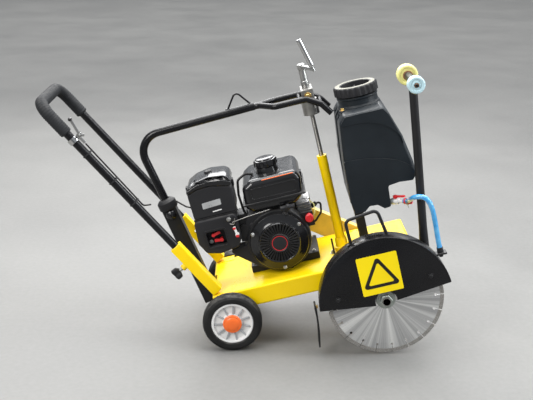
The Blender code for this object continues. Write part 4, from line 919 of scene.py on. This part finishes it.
def saw_blade():
    u, n = ARBOR
    low, high = span("saw_blade")
    half = float(high[1] - low[1]) / 2
    rim = BLADE_R - 0.010
    core = [(-half, 0.0129), (-half, rim), (half, rim), (half, 0.0129)]
    blade = piece("blade_core", lathe((u, 0, n), (0, 1, 0), core, 252), "blade_steel", "blade",
                  stands_for="saw_blade")
    cuts = []
    open_half = math.degrees(math.asin(SLOT_HALF / SLOT_HOLE))
    for i in range(BLADE_SEGMENTS):
        angle = 360 * (i + 0.5) / BLADE_SEGMENTS
        out = np.array((math.cos(math.radians(angle)), math.sin(math.radians(angle))))
        across = np.array((out[1], -out[0])) * SLOT_HALF
        outline = arc(ARBOR + out * 0.150, SLOT_HOLE, angle + open_half, angle + 360 - open_half, 20)
        outline += [ARBOR + out * 0.178 + across, ARBOR + out * 0.178 - across]
        cuts.append(prism(outline, -0.01, 0.01))
    carve(blade, cuts)
    blade.data.set_sharp_from_angle(angle=math.radians(32))
    segments = []
    for i in range(BLADE_SEGMENTS):
        start = 360 * (i + 0.5) / BLADE_SEGMENTS + 0.50
        end = 360 * (i + 1.5) / BLADE_SEGMENTS - 0.50
        outline = arc(ARBOR, BLADE_R, start, end, 10) + arc(ARBOR, rim - 0.0004, end, start, 10)
        segments.append(prism(outline, -half - 0.0002, half + 0.0002))
    piece("blade_segments", segments, "blade_steel", "blade", bevel=0.0002, segments=1)
    face = -(half + 0.0006)
    disc = [(0, 0.0129), (0, 0.029), (0.0055, 0.029), (0.0070, 0.0275), (0.0072, 0.0235),
            (0.0085, 0.0225), (0.0085, 0.0129)]
    piece("flange_disc", lathe((u, face, n), (0, -1, 0), disc, 80, 0.0006), "flange_steel", "blade",
          stands_for="outer_flange")
    nut = [(0.008, 0.0135), (0.008, 0.0196), (0.0195, 0.0200), (0.0222, 0.0178), (0.0222, 0.0135)]
    piece("arbor_nut", lathe((u, face, n), (0, -1, 0), nut, 6), "flange_steel", "blade", bevel=0.0006)
    shaft_end = float(span("arbor_shaft")[0][1])
    finish_node("bare_steel", "arbor_shaft", "engine_shaft")
    end = [(0, 0), (0, 0.0120), (0.0012, 0.0112), (0.0012, 0)]
    piece("arbor_tip", lathe((u, shaft_end + 0.0012, n), (0, -1, 0), end, 40), "satin_black", "blade")


def guard_outline(radius):
    return arc(ARBOR, radius, 4.0, 176.0, 72)


def frame_prism(outer, inner, v_from, v_to):
    """A flat ring between two outlines with as many points."""
    count = len(outer)
    points = [(u, v, n) for v in (v_from, v_to) for line in (outer, inner) for u, n in line]
    faces = []
    for i in range(count):
        j = (i + 1) % count
        a, b, c, d = i, j, count + i, count + j
        faces.append((a, b, d, c))
        faces.append((2 * count + a, 2 * count + c, 2 * count + d, 2 * count + b))
        faces.append((b, a, 2 * count + a, 2 * count + b))
        faces.append((c, d, 2 * count + d, 2 * count + c))
    return points, faces


def guard():
    u, n = ARBOR
    radius = 0.200
    near, far, wall = -0.022, 0.036, 0.0025
    outline = guard_outline(radius) + [(u - 0.028, n - 0.009), (u + 0.030, n - 0.005)]
    shell = piece("guard_shell", prism(outline, near, far), "black_paint", bevel=0.0012,
                  stands_for="blade_guard", sharp=40)
    inner = guard_outline(radius - wall)
    inside = inner + [(inner[-1][0], inner[-1][1] - 0.08), (inner[0][0], inner[0][1] - 0.08)]
    carve(shell, [prism(inside, near + wall, far - wall)])
    carve(shell, [rod((u, -0.05, n), (u, 0.06, n), 0.033, 72)])
    shell.data.set_sharp_from_angle(angle=math.radians(32))
    rim = [flat(point, near + 0.0008) for point in arc(ARBOR, radius - 0.0012, 4.5, 175.5, 80)]
    piece("guard_rim", pipe(rim, 0.0019, 14), "black_paint")
    bracket = bar((0.40, 0.048), (0.52, 0.048), 0.030, 0.0345, DECK_V[0] - 0.0004)
    piece("guard_bracket", bracket, "satin_black", bevel=0.002)
    path = fillet([(0.404, 0.007, 0.1690), (0.402, 0.007, 0.246), (0.500, 0.007, 0.258),
                   (0.514, 0.007, 0.1755)], 0.016, 10)
    feet = [bar((0.392, 0.1705), (0.416, 0.1745), 0.004, 0.0, 0.014),
            bar((0.502, 0.1775), (0.526, 0.1730), 0.004, 0.0, 0.014)]
    piece("guard_handle", [pipe(path, 0.005, 20)] + feet, "satin_black")
    screws = bolt((0.330, near, 0.020), (0, -1, 0), 0.010) + bolt((0.612, near, 0.030), (0, -1, 0), 0.010)
    piece("guard_screws", screws, "satin_black")


def label():
    heart, half = (0.467, 0.072), 0.061
    corners = [(heart[0] - half, heart[1] - half), (heart[0] + half, heart[1] - half),
               (heart[0] + half, heart[1] + half), (heart[0] - half, heart[1] + half)]
    piece("guard_label", prism(corners, -0.0229, -0.0221, 0.004), "plate_yellow", bevel=0.0002, segments=1)
    outer = triangle((heart[0], heart[1] - 0.008), 0.066, 0.008)
    inner = triangle((heart[0], heart[1] - 0.008), 0.046, 0.004)
    piece("guard_label_triangle", frame_prism(outer, inner, -0.0233, -0.0228), "plate_black")


def triangle(heart, reach, corner):
    return fillet(arc(heart, reach, 90, 330, 2), corner, 6, True)


def hose_nipple():
    piece("hose_bracket", box((0.6425, 0.002, 0.076), (0.6755, 0.030, 0.082)), "satin_black", bevel=0.001)
    nipple = [(0, 0), (0, 0.0060), (0.026, 0.0060), (0.028, 0.0050), (0.028, 0)]
    collar = [(0.0142, 0.0078), (0.0142, 0.0098), (0.030, 0.0094), (0.030, 0.0078)]
    at = (HOSE_END[0], HOSE_END[1], 0.068)
    piece("hose_ring", [lathe(at, (0, 0, 1), nipple, 32), lathe(at, (0, 0, 1), collar, 36, 0.0006)],
          "black_plastic")


def guard_flap():
    outline = [(0.2550, 0.012), (0.2605, 0.012), (0.2602, -0.020), (0.2560, -0.065), (0.2460, -0.120),
               (0.2415, -0.119),
               (0.2508, -0.062), (0.2548, -0.020)]
    piece("flap_strip", prism(outline[::-1], -0.018, 0.032, 0.006, 4), "rubber", bevel=0.0008,
          stands_for="guard_flap")
    piece("flap_bolt", bolt((0.2610, 0.008, 0.002), (1, 0, 0), 0.008), "brass")


def belt_drive():
    finish_node("worn_yellow", "belt_guard")
    finish_node("rubber", "drive_belt")
    finish_node("cast_aluminium", "near_arbor_bearing", "far_arbor_bearing")
    u, n = ARBOR
    screws = []
    for v in (0.101, 0.379):
        for side in (-1, 1):
            screws += bolt((u + side * 0.038, v, 0.0008), (0, 0, -1), 0.009)
    piece("bearing_bolts", screws, "zinc")


# ---- engine ----

def lens_outline(middle, wide, high, steps=28):
    """An oval of (u, n) points."""
    turns = [2 * math.pi * i / steps for i in range(steps)]
    return [(middle[0] + wide * math.cos(t), middle[1] + high * math.sin(t)) for t in turns]


def fan_housing():
    u, n = CRANKSHAFT
    finish_node("black_plastic", "engine_crankcase")
    drum = [(0.142, 0), (0.142, 0.0965), (0.1445, 0.099), (0.150, 0.100), (0.200, 0.100), (0.200, 0)]
    piece("fan_drum", lathe((u, 0, n), (0, 1, 0), drum, 96, 0.002), "satin_black", stands_for="fan_housing")
    skirt = [(0.030, 0.1930), (0.061, 0.163), (0.119, 0.115), (0.160, 0.096), (0.215, 0.087),
             (0.250, 0.110)]
    skirt += [(0.250, 0.180), (0.180, 0.262), (0.114, 0.262), (0.112, 0.206), (0.094, 0.200),
              (0.088, 0.1930)]
    piece("fan_skirt", prism(skirt, 0.146, 0.198, 0.012), "black_plastic", bevel=0.004)
    duct = [(0.092, 0.150), (0.160, 0.200), (0.172, 0.286), (0.118, 0.290), (0.104, 0.262), (0.104, 0.20)]
    piece("fan_duct", prism(duct, 0.1495, 0.1985, 0.008), "black_plastic", bevel=0.003)
    seat = box((0.262, 0.161, 0.205), (0.314, 0.166, 0.252))
    piece("switch_seat", seat, "black_plastic", bevel=0.0015)
    screws = []
    for spot_u, spot_n in ((0.120, 0.230), (0.265, 0.230), (0.193, 0.1040)):
        screws += [rod((spot_u, 0.1335, spot_n), (spot_u, 0.1262, spot_n), 0.0062, 28)]
        screws += [hexagon((spot_u, 0.1264, spot_n), (0, -1, 0), 0.0085, 0.0045)]
    piece("fan_screws", screws, "zinc")
    piece("carburettor", [box((0.080, 0.160, 0.205), (0.116, 0.232, 0.292)), rod((0.098, 0.150, 0.240),
                                                                                 (0.098, 0.240, 0.240),
                                                                                 0.020)],
          "satin_black", bevel=0.003)


def recoil():
    u, n = CRANKSHAFT
    back, front = 0.1415, 0.1135
    ring = [(0, 0.058), (0, 0.0915), (0.008, 0.0915), (0.012, 0.0890), (0.0150, 0.0800), (0.0190, 0.0700),
            (0.0215, 0.0655), (0.0240, 0.0640), (0.0262, 0.0625), (0.0262, 0.0605), (0.0240, 0.058)]
    piece("recoil_shell", lathe((u, back, n), (0, -1, 0), ring, 96, 0.0008), "gloss_plastic",
          stands_for="recoil_cover")
    spokes = []
    for i in range(36):
        turn = 2 * math.pi * (i + 0.5) / 36
        inner = (u + 0.0290 * math.cos(turn), n + 0.0290 * math.sin(turn))
        outer = (u + 0.0610 * math.cos(turn), n + 0.0610 * math.sin(turn))
        along = np.subtract(outer, inner) / 0.032
        side = np.array((-along[1], along[0]))
        corners = [inner - side * 0.0014, outer - side * 0.0029, outer + side * 0.0029,
                   inner + side * 0.0014]
        spokes.append(prism(corners, back - 0.0258, back - 0.0175))
    piece("recoil_grille", spokes, "satin_black", bevel=0.0006, segments=2)
    piece("recoil_well", lathe((u, back - 0.001, n), (0, -1, 0), [(0, 0), (0, 0.0600), (0.009, 0.0600),
                                                                  (0.009, 0)], 64), "rubber")
    hub = [(0.006, 0), (0.006, 0.0300), (0.0262, 0.0300), (0.0275, 0.0288), (0.0275, 0.0262),
           (0.0265, 0.0250), (0.0265, 0)]
    piece("recoil_hub", lathe((u, back, n), (0, -1, 0), hub, 72, 0.0004), "satin_black")
    band = [(0.0263, 0.0222), (0.0263, 0.0240), (0.0270, 0.0240), (0.0270, 0.0222)]
    piece("recoil_red_ring", lathe((u, back, n), (0, -1, 0), band, 72), "red_plastic")
    face = [(0.0260, 0), (0.0260, 0.0212), (0.0268, 0.0208), (0.0272, 0.0100), (0.0272, 0)]
    piece("recoil_face", lathe((u, back, n), (0, -1, 0), face, 64, 0.0003), "black_plastic")
    finish_node("black_plastic", "starter_grip")
    start, lean = np.array((0.236, 0.128, 0.276)), np.array((0.35, -0.50, 0.79))
    lean = lean / np.linalg.norm(lean)
    piece("starter_rope", rod(start - lean * 0.012, start + lean * 0.004, 0.0019, 16), "rope", "starter")
    eye = [(0, 0.0024), (0, 0.0070), (0.006, 0.0062), (0.006, 0.0024)]
    piece("starter_eye", lathe(start - lean * 0.010, lean, eye, 32, 0.0006), "black_plastic")
    piece("starter_bracket", bar((0.214, 0.262), (0.232, 0.272), 0.012, 0.1300, 0.150), "black_plastic",
          bevel=0.002)


def air_cleaner():
    body = [(-0.042, 0.316), (0.092, 0.316), (0.094, 0.3995), (0.030, 0.4135), (-0.010, 0.4115),
            (-0.044, 0.400)]
    piece("cleaner_case", prism(body, 0.125, 0.238, 0.010), "black_plastic", bevel=0.007, segments=5,
          stands_for="air_cleaner_body")
    cover = [(-0.044, 0.4010), (-0.010, 0.4125), (0.030, 0.4145), (0.094, 0.4005), (0.096, 0.424),
             (0.080, 0.437),
             (0.035, 0.442), (-0.010, 0.434), (-0.041, 0.418)]
    top = piece("cleaner_cover", prism(cover, 0.122, 0.240, 0.030, 10), "gloss_plastic", bevel=0.014,
                segments=8,
                stands_for="air_cleaner_cover", sharp=50)
    band = [(-0.0448, 0.4003), (-0.010, 0.4118), (0.030, 0.4138), (0.0948, 0.3998), (0.0964, 0.4135),
            (0.070, 0.4235),
            (0.028, 0.4285), (-0.012, 0.4250), (-0.0432, 0.4125)]
    piece("cleaner_band", prism(band, 0.1205, 0.2415, 0.006), "gloss_plastic", bevel=0.0035, segments=4)
    slots = []
    for heart, wide, high in (((-0.008, 0.4300), 0.0115, 0.0036), ((0.031, 0.4360), 0.0150, 0.0038),
                              ((0.067, 0.4320), 0.0100, 0.0036)):
        slots.append(prism(lens_outline(heart, wide, high), 0.110, 0.160))
    carve(top, slots)
    top.data.set_sharp_from_angle(angle=math.radians(40))
    piece("cleaner_label", prism([(-0.007, 0.3455), (0.051, 0.3490), (0.051, 0.3680), (-0.007, 0.3645)],
                                 0.1243, 0.1251, 0.002),
          "plate_silver", bevel=0.0002, segments=1)
    piece("cleaner_mark", bar((0.020, 0.3320), (0.048, 0.3335), 0.0035, 0.1243, 0.1251), "white_plastic",
          bevel=0.0002, segments=1)
    clips = [bar((-0.0465, 0.386), (-0.0455, 0.412), 0.006, 0.170, 0.195),
             bar((0.0965, 0.384), (0.0970, 0.406), 0.005, 0.170, 0.195)]
    piece("cleaner_clips", clips, "black_plastic", bevel=0.001)
    knob_line = [(0, 0), (0, 0.012), (0.008, 0.012), (0.010, 0.010), (0.010, 0)]
    cover_knob = lathe((0.030, 0.185, 0.4365), (0, 0, 1), knob_line, 40, 0.001)
    piece("cleaner_knob", cover_knob, "black_plastic")


def control_box():
    outline = [(-0.046, 0.3125), (-0.048, 0.240), (-0.030, 0.206), (0.012, 0.196), (0.072, 0.204),
               (0.086, 0.232),
               (0.086, 0.3125)]
    case = piece("control_case", prism(outline, 0.120, 0.240, 0.014), "black_plastic", bevel=0.006,
                 segments=5,
                 stands_for="control_box")
    recess = [(-0.018, 0.222), (0.040, 0.222), (0.040, 0.272), (-0.018, 0.272)]
    carve(case, [prism(recess, 0.10, 0.150, 0.006)])
    case.data.set_sharp_from_angle(angle=math.radians(32))
    seam = [(-0.0450, 0.3120), (0.0855, 0.3120), (0.0875, 0.3170), (-0.0420, 0.3170)]
    piece("control_seam", prism(seam, 0.1265, 0.237), "satin_black", bevel=0.0008)
    rim = [(-0.024, 0.216), (0.046, 0.216), (0.046, 0.278), (-0.024, 0.278)]
    plate = frame_prism(fillet(rim, 0.010, 6, True), fillet(recess, 0.006, 6, True),
                        0.1186, 0.1204)
    piece("control_rim", plate, "satin_black", bevel=0.0005)
    finish_node("red_plastic", "choke_lever", "fuel_lever")
    finish_node("white_plastic", "engine_throttle_lever")
    tips = [bar((0.0725, 0.266), (0.0715, 0.273), 0.008, 0.1070, 0.1130),
            bar((0.0755, 0.2405), (0.0765, 0.2480), 0.009, 0.1068, 0.1076)]
    piece("throttle_tips", tips, "red_plastic", "governor", bevel=0.0006)
    screws = bolt((-0.0110, 0.1496, 0.2315), (0, -1, 0), 0.0080) + bolt((0.061, 0.1200, 0.2985),
                                                                        (0, -1, 0), 0.008)
    screws += bolt((-0.0470, 0.150, 0.276), (-1, 0, 0), 0.008)
    piece("control_screws", screws, "zinc")
    links = [pipe([(0.070, 0.1150, 0.288), (0.120, 0.1180, 0.294), (0.190, 0.1250, 0.298)], 0.0013, 10)]
    links.append(pipe(fillet([(0.062, 0.116, 0.284), (0.074, 0.114, 0.280), (0.080, 0.114, 0.300)], 0.004,
                             4), 0.0012, 10))
    piece("governor_links", links, "bare_steel")


def waved_cap(base, rows, count, wave):
    """A turned cap from rows of (height, radius, share of the wave that runs round its skirt)."""
    rings = []
    for height, radius, share in rows:
        ring = []
        for turn in turns_of(count):
            out = radius + share * wave(turn)
            ring.append((base[0] + out * math.cos(turn), base[1] + out * math.sin(turn), base[2] + height))
        rings.append(ring)
    return loft(rings)


def fuel_tank():
    outline = [(0.118, 0.312), (0.140, 0.295), (0.270, 0.293), (0.296, 0.312), (0.304, 0.372),
               (0.292, 0.398),
               (0.150, 0.396), (0.122, 0.378)]
    piece("tank_shell", prism(outline, 0.130, 0.345, 0.020), "gloss_plastic", bevel=0.022, segments=8,
          stands_for="fuel_tank", sharp=50)
    seam = [(0.113, 0.3215), (0.3085, 0.3215), (0.3085, 0.3280), (0.113, 0.3280)]
    piece("tank_flange", prism(seam, 0.1245, 0.3505), "satin_black", bevel=0.0022)
    panel = [(0.142, 0.3350), (0.286, 0.3335), (0.2890, 0.3730), (0.145, 0.3720)]
    inner = [(0.146, 0.3390), (0.2825, 0.3376), (0.2852, 0.3690), (0.149, 0.3680)]
    ring = frame_prism(fillet(panel, 0.010, 6, True), fillet(inner, 0.008, 6, True),
                       0.1284, 0.1312)
    piece("tank_panel_rim", ring, "gloss_plastic", bevel=0.0008)
    stripe = pipe([(0.186, 0.1364, 0.3900), (0.284, 0.1364, 0.3914)], 0.0016, 12)
    piece("tank_stripe", stripe, "orange_plastic")
    u, v = centre("fuel_cap")[:2]
    neck = [(0, 0.0175), (0, 0.0365), (0.008, 0.0345), (0.0155, 0.0325), (0.0155, 0.0175)]
    piece("fuel_neck", lathe((u, v, 0.3960), (0, 0, 1), neck, 56, 0.0008), "gloss_plastic")
    base = (u, v, 0.4120)
    rows = ((0.0002, 0.0302, 0.0), (0.003, 0.0342, 1.0), (0.0180, 0.0342, 1.0), (0.0215, 0.0330, 0.8),
            (0.0225, 0.0300, 0.0), (0.0262, 0.0285, 0.0), (0.0276, 0.0240, 0.0), (0.0280, 0.0120, 0.0))
    grip = waved_cap(base, rows, 96, lambda turn: 0.0026 if math.cos(8 * turn) > 0.1 else 0.0)
    plug = lathe((base[0], base[1], base[2] - 0.015), (0, 0, 1), [(0, 0), (0, 0.0163), (0.0155, 0.0163),
                                                                  (0.0155, 0)], 40)
    piece("fuel_cap_grip", [grip, plug], "gloss_plastic", "fuel_lid", stands_for="fuel_cap")
    hose = fillet([(0.160, 0.200, 0.398), (0.140, 0.190, 0.408), (0.112, 0.180, 0.396),
                   (0.105, 0.172, 0.352), (0.108, 0.165, 0.312),
                   (0.112, 0.165, 0.286)], 0.016, 6)
    piece("fuel_hose", pipe(hose, 0.0038, 18), "rubber")
    strap = bar((0.3010, 0.3300), (0.3055, 0.3720), 0.006, 0.205, 0.235)
    piece("tank_strap", strap, "gloss_plastic", bevel=0.002)


def cylinder():
    fins = [box((0.272, 0.210, 0.207), (0.306, 0.298, 0.273))]
    for i in range(9):
        n = 0.2085 + 0.0076 * i
        fins.append(prism([(0.2690, n), (0.312, n), (0.312, n + 0.0024), (0.2690, n + 0.0024)], 0.2012,
                          0.307))
    fins.append(rod((0.302, 0.218, 0.246), (0.318, 0.209, 0.254), 0.0085, 24))
    piece("head_fins", fins, "cast_aluminium", bevel=0.0006, segments=2, stands_for="cylinder_head")
    cover = box((0.290, 0.232, 0.232), (0.3150, 0.296, 0.2745))
    piece("valve_cover", cover, "zinc", bevel=0.005)
    boot = [pipe([(0.316, 0.210, 0.253), (0.328, 0.203, 0.2595)], 0.0075, 20)]
    lead = fillet([(0.326, 0.204, 0.258), (0.345, 0.198, 0.264), (0.340, 0.190, 0.232),
                   (0.318, 0.182, 0.212), (0.295, 0.176, 0.203)], 0.014, 6)
    piece("spark_lead", boot + [pipe(lead, 0.0032, 16)], "rubber")
    wire = fillet([(0.312, 0.206, 0.274), (0.324, 0.190, 0.262), (0.320, 0.174, 0.238),
                   (0.306, 0.168, 0.226)], 0.012, 6)
    piece("switch_wire", pipe(wire, 0.0017, 12), "pale_yellow")
    finish_node("satin_black", "muffler")
    finish_node("red_plastic", "stop_switch")


# ---- water ----

def water_tank():
    outline = [(0.434, 0.260), (0.438, 0.2235), (0.472, 0.2235), (0.488, 0.238), (0.512, 0.236),
               (0.530, 0.220),
               (0.552, 0.222), (0.556, 0.288), (0.590, 0.292), (0.632, 0.288), (0.646, 0.304), (0.644,
                                                                                                0.345),
               (0.628, 0.430), (0.602, 0.508), (0.588, 0.530), (0.470, 0.530), (0.452, 0.508), (0.438, 0.370)]
    near, far = MID - 0.125, MID + 0.125
    tank = piece("tank_body", prism(outline, near, far, 0.013, 5), "tank_plastic", bevel=0.013, segments=6,
                 stands_for="water_tank", sharp=50)
    rests = [rod((0.42, v, 0.563), (0.475, v, 0.483), 0.0100, 28) for v in (MID - 0.052, MID + 0.052)]
    carve(tank, rests)
    tank.data.set_sharp_from_angle(angle=math.radians(45))
    lower = [(0.4362, 0.2600), (0.4400, 0.2255), (0.4710, 0.2255), (0.4875, 0.2398), (0.5125, 0.2378),
             (0.5310, 0.2220),
             (0.5505, 0.2238), (0.5548, 0.2895), (0.5900, 0.2936), (0.6310, 0.2898), (0.6425, 0.3040)]
    lower += tank_curve(0.4390, 0.3920, 0.6420, 0.3090)[::-1]
    upper = [(0.4545, 0.4980), (0.4560, 0.5065), (0.4720, 0.5250), (0.5865, 0.5250), (0.5990, 0.5060),
             (0.6240, 0.4290)]
    upper += tank_curve(0.4960, 0.4980, 0.6260, 0.4040)[::-1]
    steps = []
    for v, out in ((near, -1), (far, 1)):
        for line, rise in ((lower, 0.0030), (upper, 0.0022)):
            ends = sorted((v + out * rise, v - out * 0.010))
            steps.append(prism(line, *ends, 0.006))
    piece("tank_steps", steps, "tank_plastic", bevel=0.0028, segments=5, sharp=50)
    neck = [(0.520, 0.052), (0.520, 0.066), (0.532, 0.0650), (0.537, 0.0615), (0.553, 0.0610),
            (0.555, 0.0635), (0.5600, 0.0635),
            (0.5605, 0.0600), (0.5605, 0.052)]
    piece("tank_neck", lathe((TANK_MOUTH_U, MID, 0), (0, 0, 1), neck, 88, 0.001), "tank_plastic")
    seam = [(0.4385, 0.2220), (0.4365, 0.2600), (0.4365, 0.3700), (0.4505, 0.5080), (0.4690, 0.5315)]
    line = fillet([(u, MID, n) for u, n in seam], 0.010, 4)
    piece("tank_seam", pipe(line, 0.0018, 12), "tank_plastic")
    nut = bolt((0.472, MID - 0.062, 0.5335), (0, 0, 1), 0.009)
    piece("tank_nut", nut, "brass")
    lug = lathe((0.472, MID - 0.062, 0.5290), (0, 0, 1), [(0, 0), (0, 0.012), (0.0046, 0.0105),
                                                          (0.0046, 0)], 36)
    piece("tank_lug", lug, "tank_plastic")


def tank_curve(u_from, n_from, u_to, n_to, steps=26):
    """A quarter of an ellipse falling from one point to the other."""
    turns = [math.pi / 2 * i / steps for i in range(steps + 1)]
    wide, high = u_to - u_from, n_from - n_to
    return [(u_from + wide * math.sin(t), n_to + high * math.cos(t)) for t in turns]


def tank_cap():
    finish_node("rubber", "tank_cap_seal")
    base = (TANK_MOUTH_U, MID, 0.5640)
    rows = ((0.0002, 0.0640, 0.0), (0.0015, 0.0660, 1.0), (0.0240, 0.0660, 1.0), (0.0270, 0.0650, 0.4),
            (0.0290, 0.0630, 0.0), (0.0290, 0.0470, 0.0), (0.0275, 0.0450, 0.0), (0.0130, 0.0440, 0.0))
    cap = waved_cap(base, rows, 192, lambda turn: 0.0020 * max(-0.4, math.sin(24 * turn)))
    grips = []
    for i in range(2):
        turn = math.pi * i / 2
        across = np.array((math.cos(turn), math.sin(turn), 0))
        ends = [tuple(np.array(base) + across * reach + np.array((0, 0, 0.0135))) for reach in (-0.042,
                                                                                                0.042)]
        grips.append(pipe(ends, 0.0035, 12))
    piece("cap_body", [cap] + grips, "black_plastic", "tank_lid", stands_for="tank_cap", sharp=40)
    # The lip is a pale ring on the cap's rim: dust together with a painted highlight.
    lip = [(0.0286, 0.0480), (0.0286, 0.0625), (0.0294, 0.0612), (0.0294, 0.0492)]
    piece("cap_lip", lathe(base, (0, 0, 1), lip, 96), "cap_cream", "tank_lid")


def valve():
    start = VALVE_AT - VALVE_AXIS * 0.018
    body = [(0, 0), (0, 0.0060), (0.0185, 0.0060), (0.0190, 0.0100), (0.0225, 0.0105), (0.0240, 0.0095),
            (0.0440, 0.0095),
            (0.0450, 0.0060), (0.0460, 0.0050), (0.0600, 0.0050), (0.0600, 0)]
    piece("valve_body", lathe(start, VALVE_AXIS, body, 40, 0.0006), "white_plastic",
          stands_for="water_valve")
    finish_node("red_plastic", "valve_lever")
    hose_at = VALVE_AT + VALVE_AXIS * 0.0475
    sleeve = [(0, 0.0077), (0, 0.0098), (0.022, 0.0092), (0.022, 0.0077)]
    piece("hose_sleeve", lathe(hose_at, VALVE_AXIS, sleeve, 36, 0.0005), "red_plastic")
    axis, side, up = basis(VALVE_AXIS)
    points = []
    for i in range(41):
        turn = 2 * math.pi * 2.1 * i / 40
        middle = hose_at + axis * (0.009 + 0.0025 * i / 40)
        points.append(middle + 0.0106 * (side * math.cos(turn) + up * math.sin(turn)))
    ends = [points[0] + up * 0.010 + side * 0.004] + points + [points[-1] + up * 0.012 - side * 0.003]
    piece("hose_clip", pipe(ends, 0.0009, 10), "zinc", sharp=80)


def pointer():
    u_top, n_top = centre("far_roller")[[0, 2]]
    u_foot, n_foot = POINTER_PIVOT
    v = 0.0665
    top, foot = np.array((u_top, v, n_top)), np.array((u_foot, v, n_foot))
    along = (top - foot) / np.linalg.norm(top - foot)
    shapes = [pipe([foot + along * 0.012, top], TUBE_R, 32)]
    rows, rings = 9, []
    side = np.array((along[2], 0, -along[0]))
    across = np.array((0, -1.0, 0))
    for row in range(rows):
        part = row / (rows - 1)
        wide, thick, power = 0.0155 - 0.003 * part, 0.0085 + 0.004 * part, 0.55 + 0.45 * part
        heart = foot - along * 0.012 + along * 0.085 * part
        ring = []
        for turn in turns_of(32):
            c, s = math.cos(turn), math.sin(turn)
            ring.append(heart + side * wide * math.copysign(abs(c) ** power, c)
                        + across * thick * math.copysign(abs(s) ** power, s))
        rings.append(ring)
    shapes.append(loft(rings))
    shapes.append(rod((u_top, 0.022, n_top), (u_top, 0.150, n_top), 0.0110, 32))
    piece("pointer_bar", shapes, "satin_black", "pointer", stands_for="pointer_arm")
    axle = [rod((u_top, -0.0118, n_top), (u_top, 0.192, n_top), 0.0060, 28)]
    axle += [rod((u_top, 0.1495, n_top), (u_top, 0.1545, n_top), 0.0150, 28)]
    piece("pointer_axle", axle, "rust", "pointer")
    small, large = span("near_roller"), span("far_roller")
    for name, (low, high), look, body in (("near", small, "pale_blue", "small_roller"),
                                          ("far", large, "pale_yellow", "large_roller")):
        width, radius = float(high[1] - low[1]), float(high[0] - low[0]) / 2
        line = [(0, 0.0064), (0, 0.0100), (0.0022, 0.0115), (0.0022, radius - 0.009),
                (0, radius - 0.0075), (0, radius - 0.0025),
                (0.0025, radius), (width - 0.0025, radius), (width, radius - 0.0025), (width,
                                                                                       radius - 0.0075),
                (width - 0.0022, radius - 0.009), (width - 0.0022, 0.0115), (width, 0.0100), (width, 0.0064)]
        piece(f"{name}_roller_wheel", lathe((u_top, float(low[1]), n_top), (0, 1, 0), line, 72, 0.0008),
              look, body,
              stands_for=f"{name}_roller")
    screw = bolt((u_top, -0.0100, n_top), (0, -1, 0), 0.0085)
    piece("roller_screw", screw, "satin_black", "pointer")


def simple_nodes():
    finish_node("yellow_paint", "near_handle_sleeve", "far_handle_sleeve")
    finish_node("zinc", "rear_axle")
    feet = [bar((-0.030, 0.0802), (0.020, 0.0802), 0.003, v - 0.022, v + 0.022) for v in HANDLE_V]
    piece("sleeve_feet", feet, "yellow_paint", bevel=0.001)


def floor():
    mesh = bpy.data.meshes.new("floor")
    corners = [(FLOOR_SIDE * x, FLOOR_SIDE * y, 0) for x, y in ((-1, -1), (1, -1), (1, 1), (-1, 1))]
    mesh.from_pydata(corners, [], [(0, 1, 2, 3)])
    look = Nodes("floor")
    broad, fine = look.noise(1.3, 6.0, rough=0.6), look.noise(60, 5.0)
    tone = look.maths("ADD", look.maths("MULTIPLY", broad, 0.75), look.maths("MULTIPLY", fine, 0.25))
    look.set("Base Color", look.mix(look.ramp(tone, 0.35, 0.65), (0.150, 0.148, 0.142, 1),
                                    (0.200, 0.198, 0.190, 1)))
    look.set("Roughness", look.ramp(broad, 0.3, 0.7, 0.50, 0.70))
    look.set("Normal", look.bump(fine, 0.05, 0.001))
    mesh.materials.append(look.material)
    item = add("floor", mesh)


def main():
    set_camera()
    set_lights()
    floor()
    water_hose()
    deck()
    tank_post()
    pointer_bracket()
    simple_nodes()
    rear_wheel("near_wheel", -1)
    rear_wheel("far_wheel", 1)
    front_wheel("near_front_wheel", "near_front")
    front_wheel("far_front_wheel", "far_front")
    column()
    upper_arm()
    spindle()
    leg()
    knob("near", HANDLE_V[0])
    knob("far", HANDLE_V[1])
    handle()
    lower_cable()
    saw_blade()
    guard()
    label()
    hose_nipple()
    guard_flap()
    belt_drive()
    fan_housing()
    recoil()
    air_cleaner()
    control_box()
    fuel_tank()
    cylinder()
    water_tank()
    tank_cap()
    valve()
    pointer()


main()
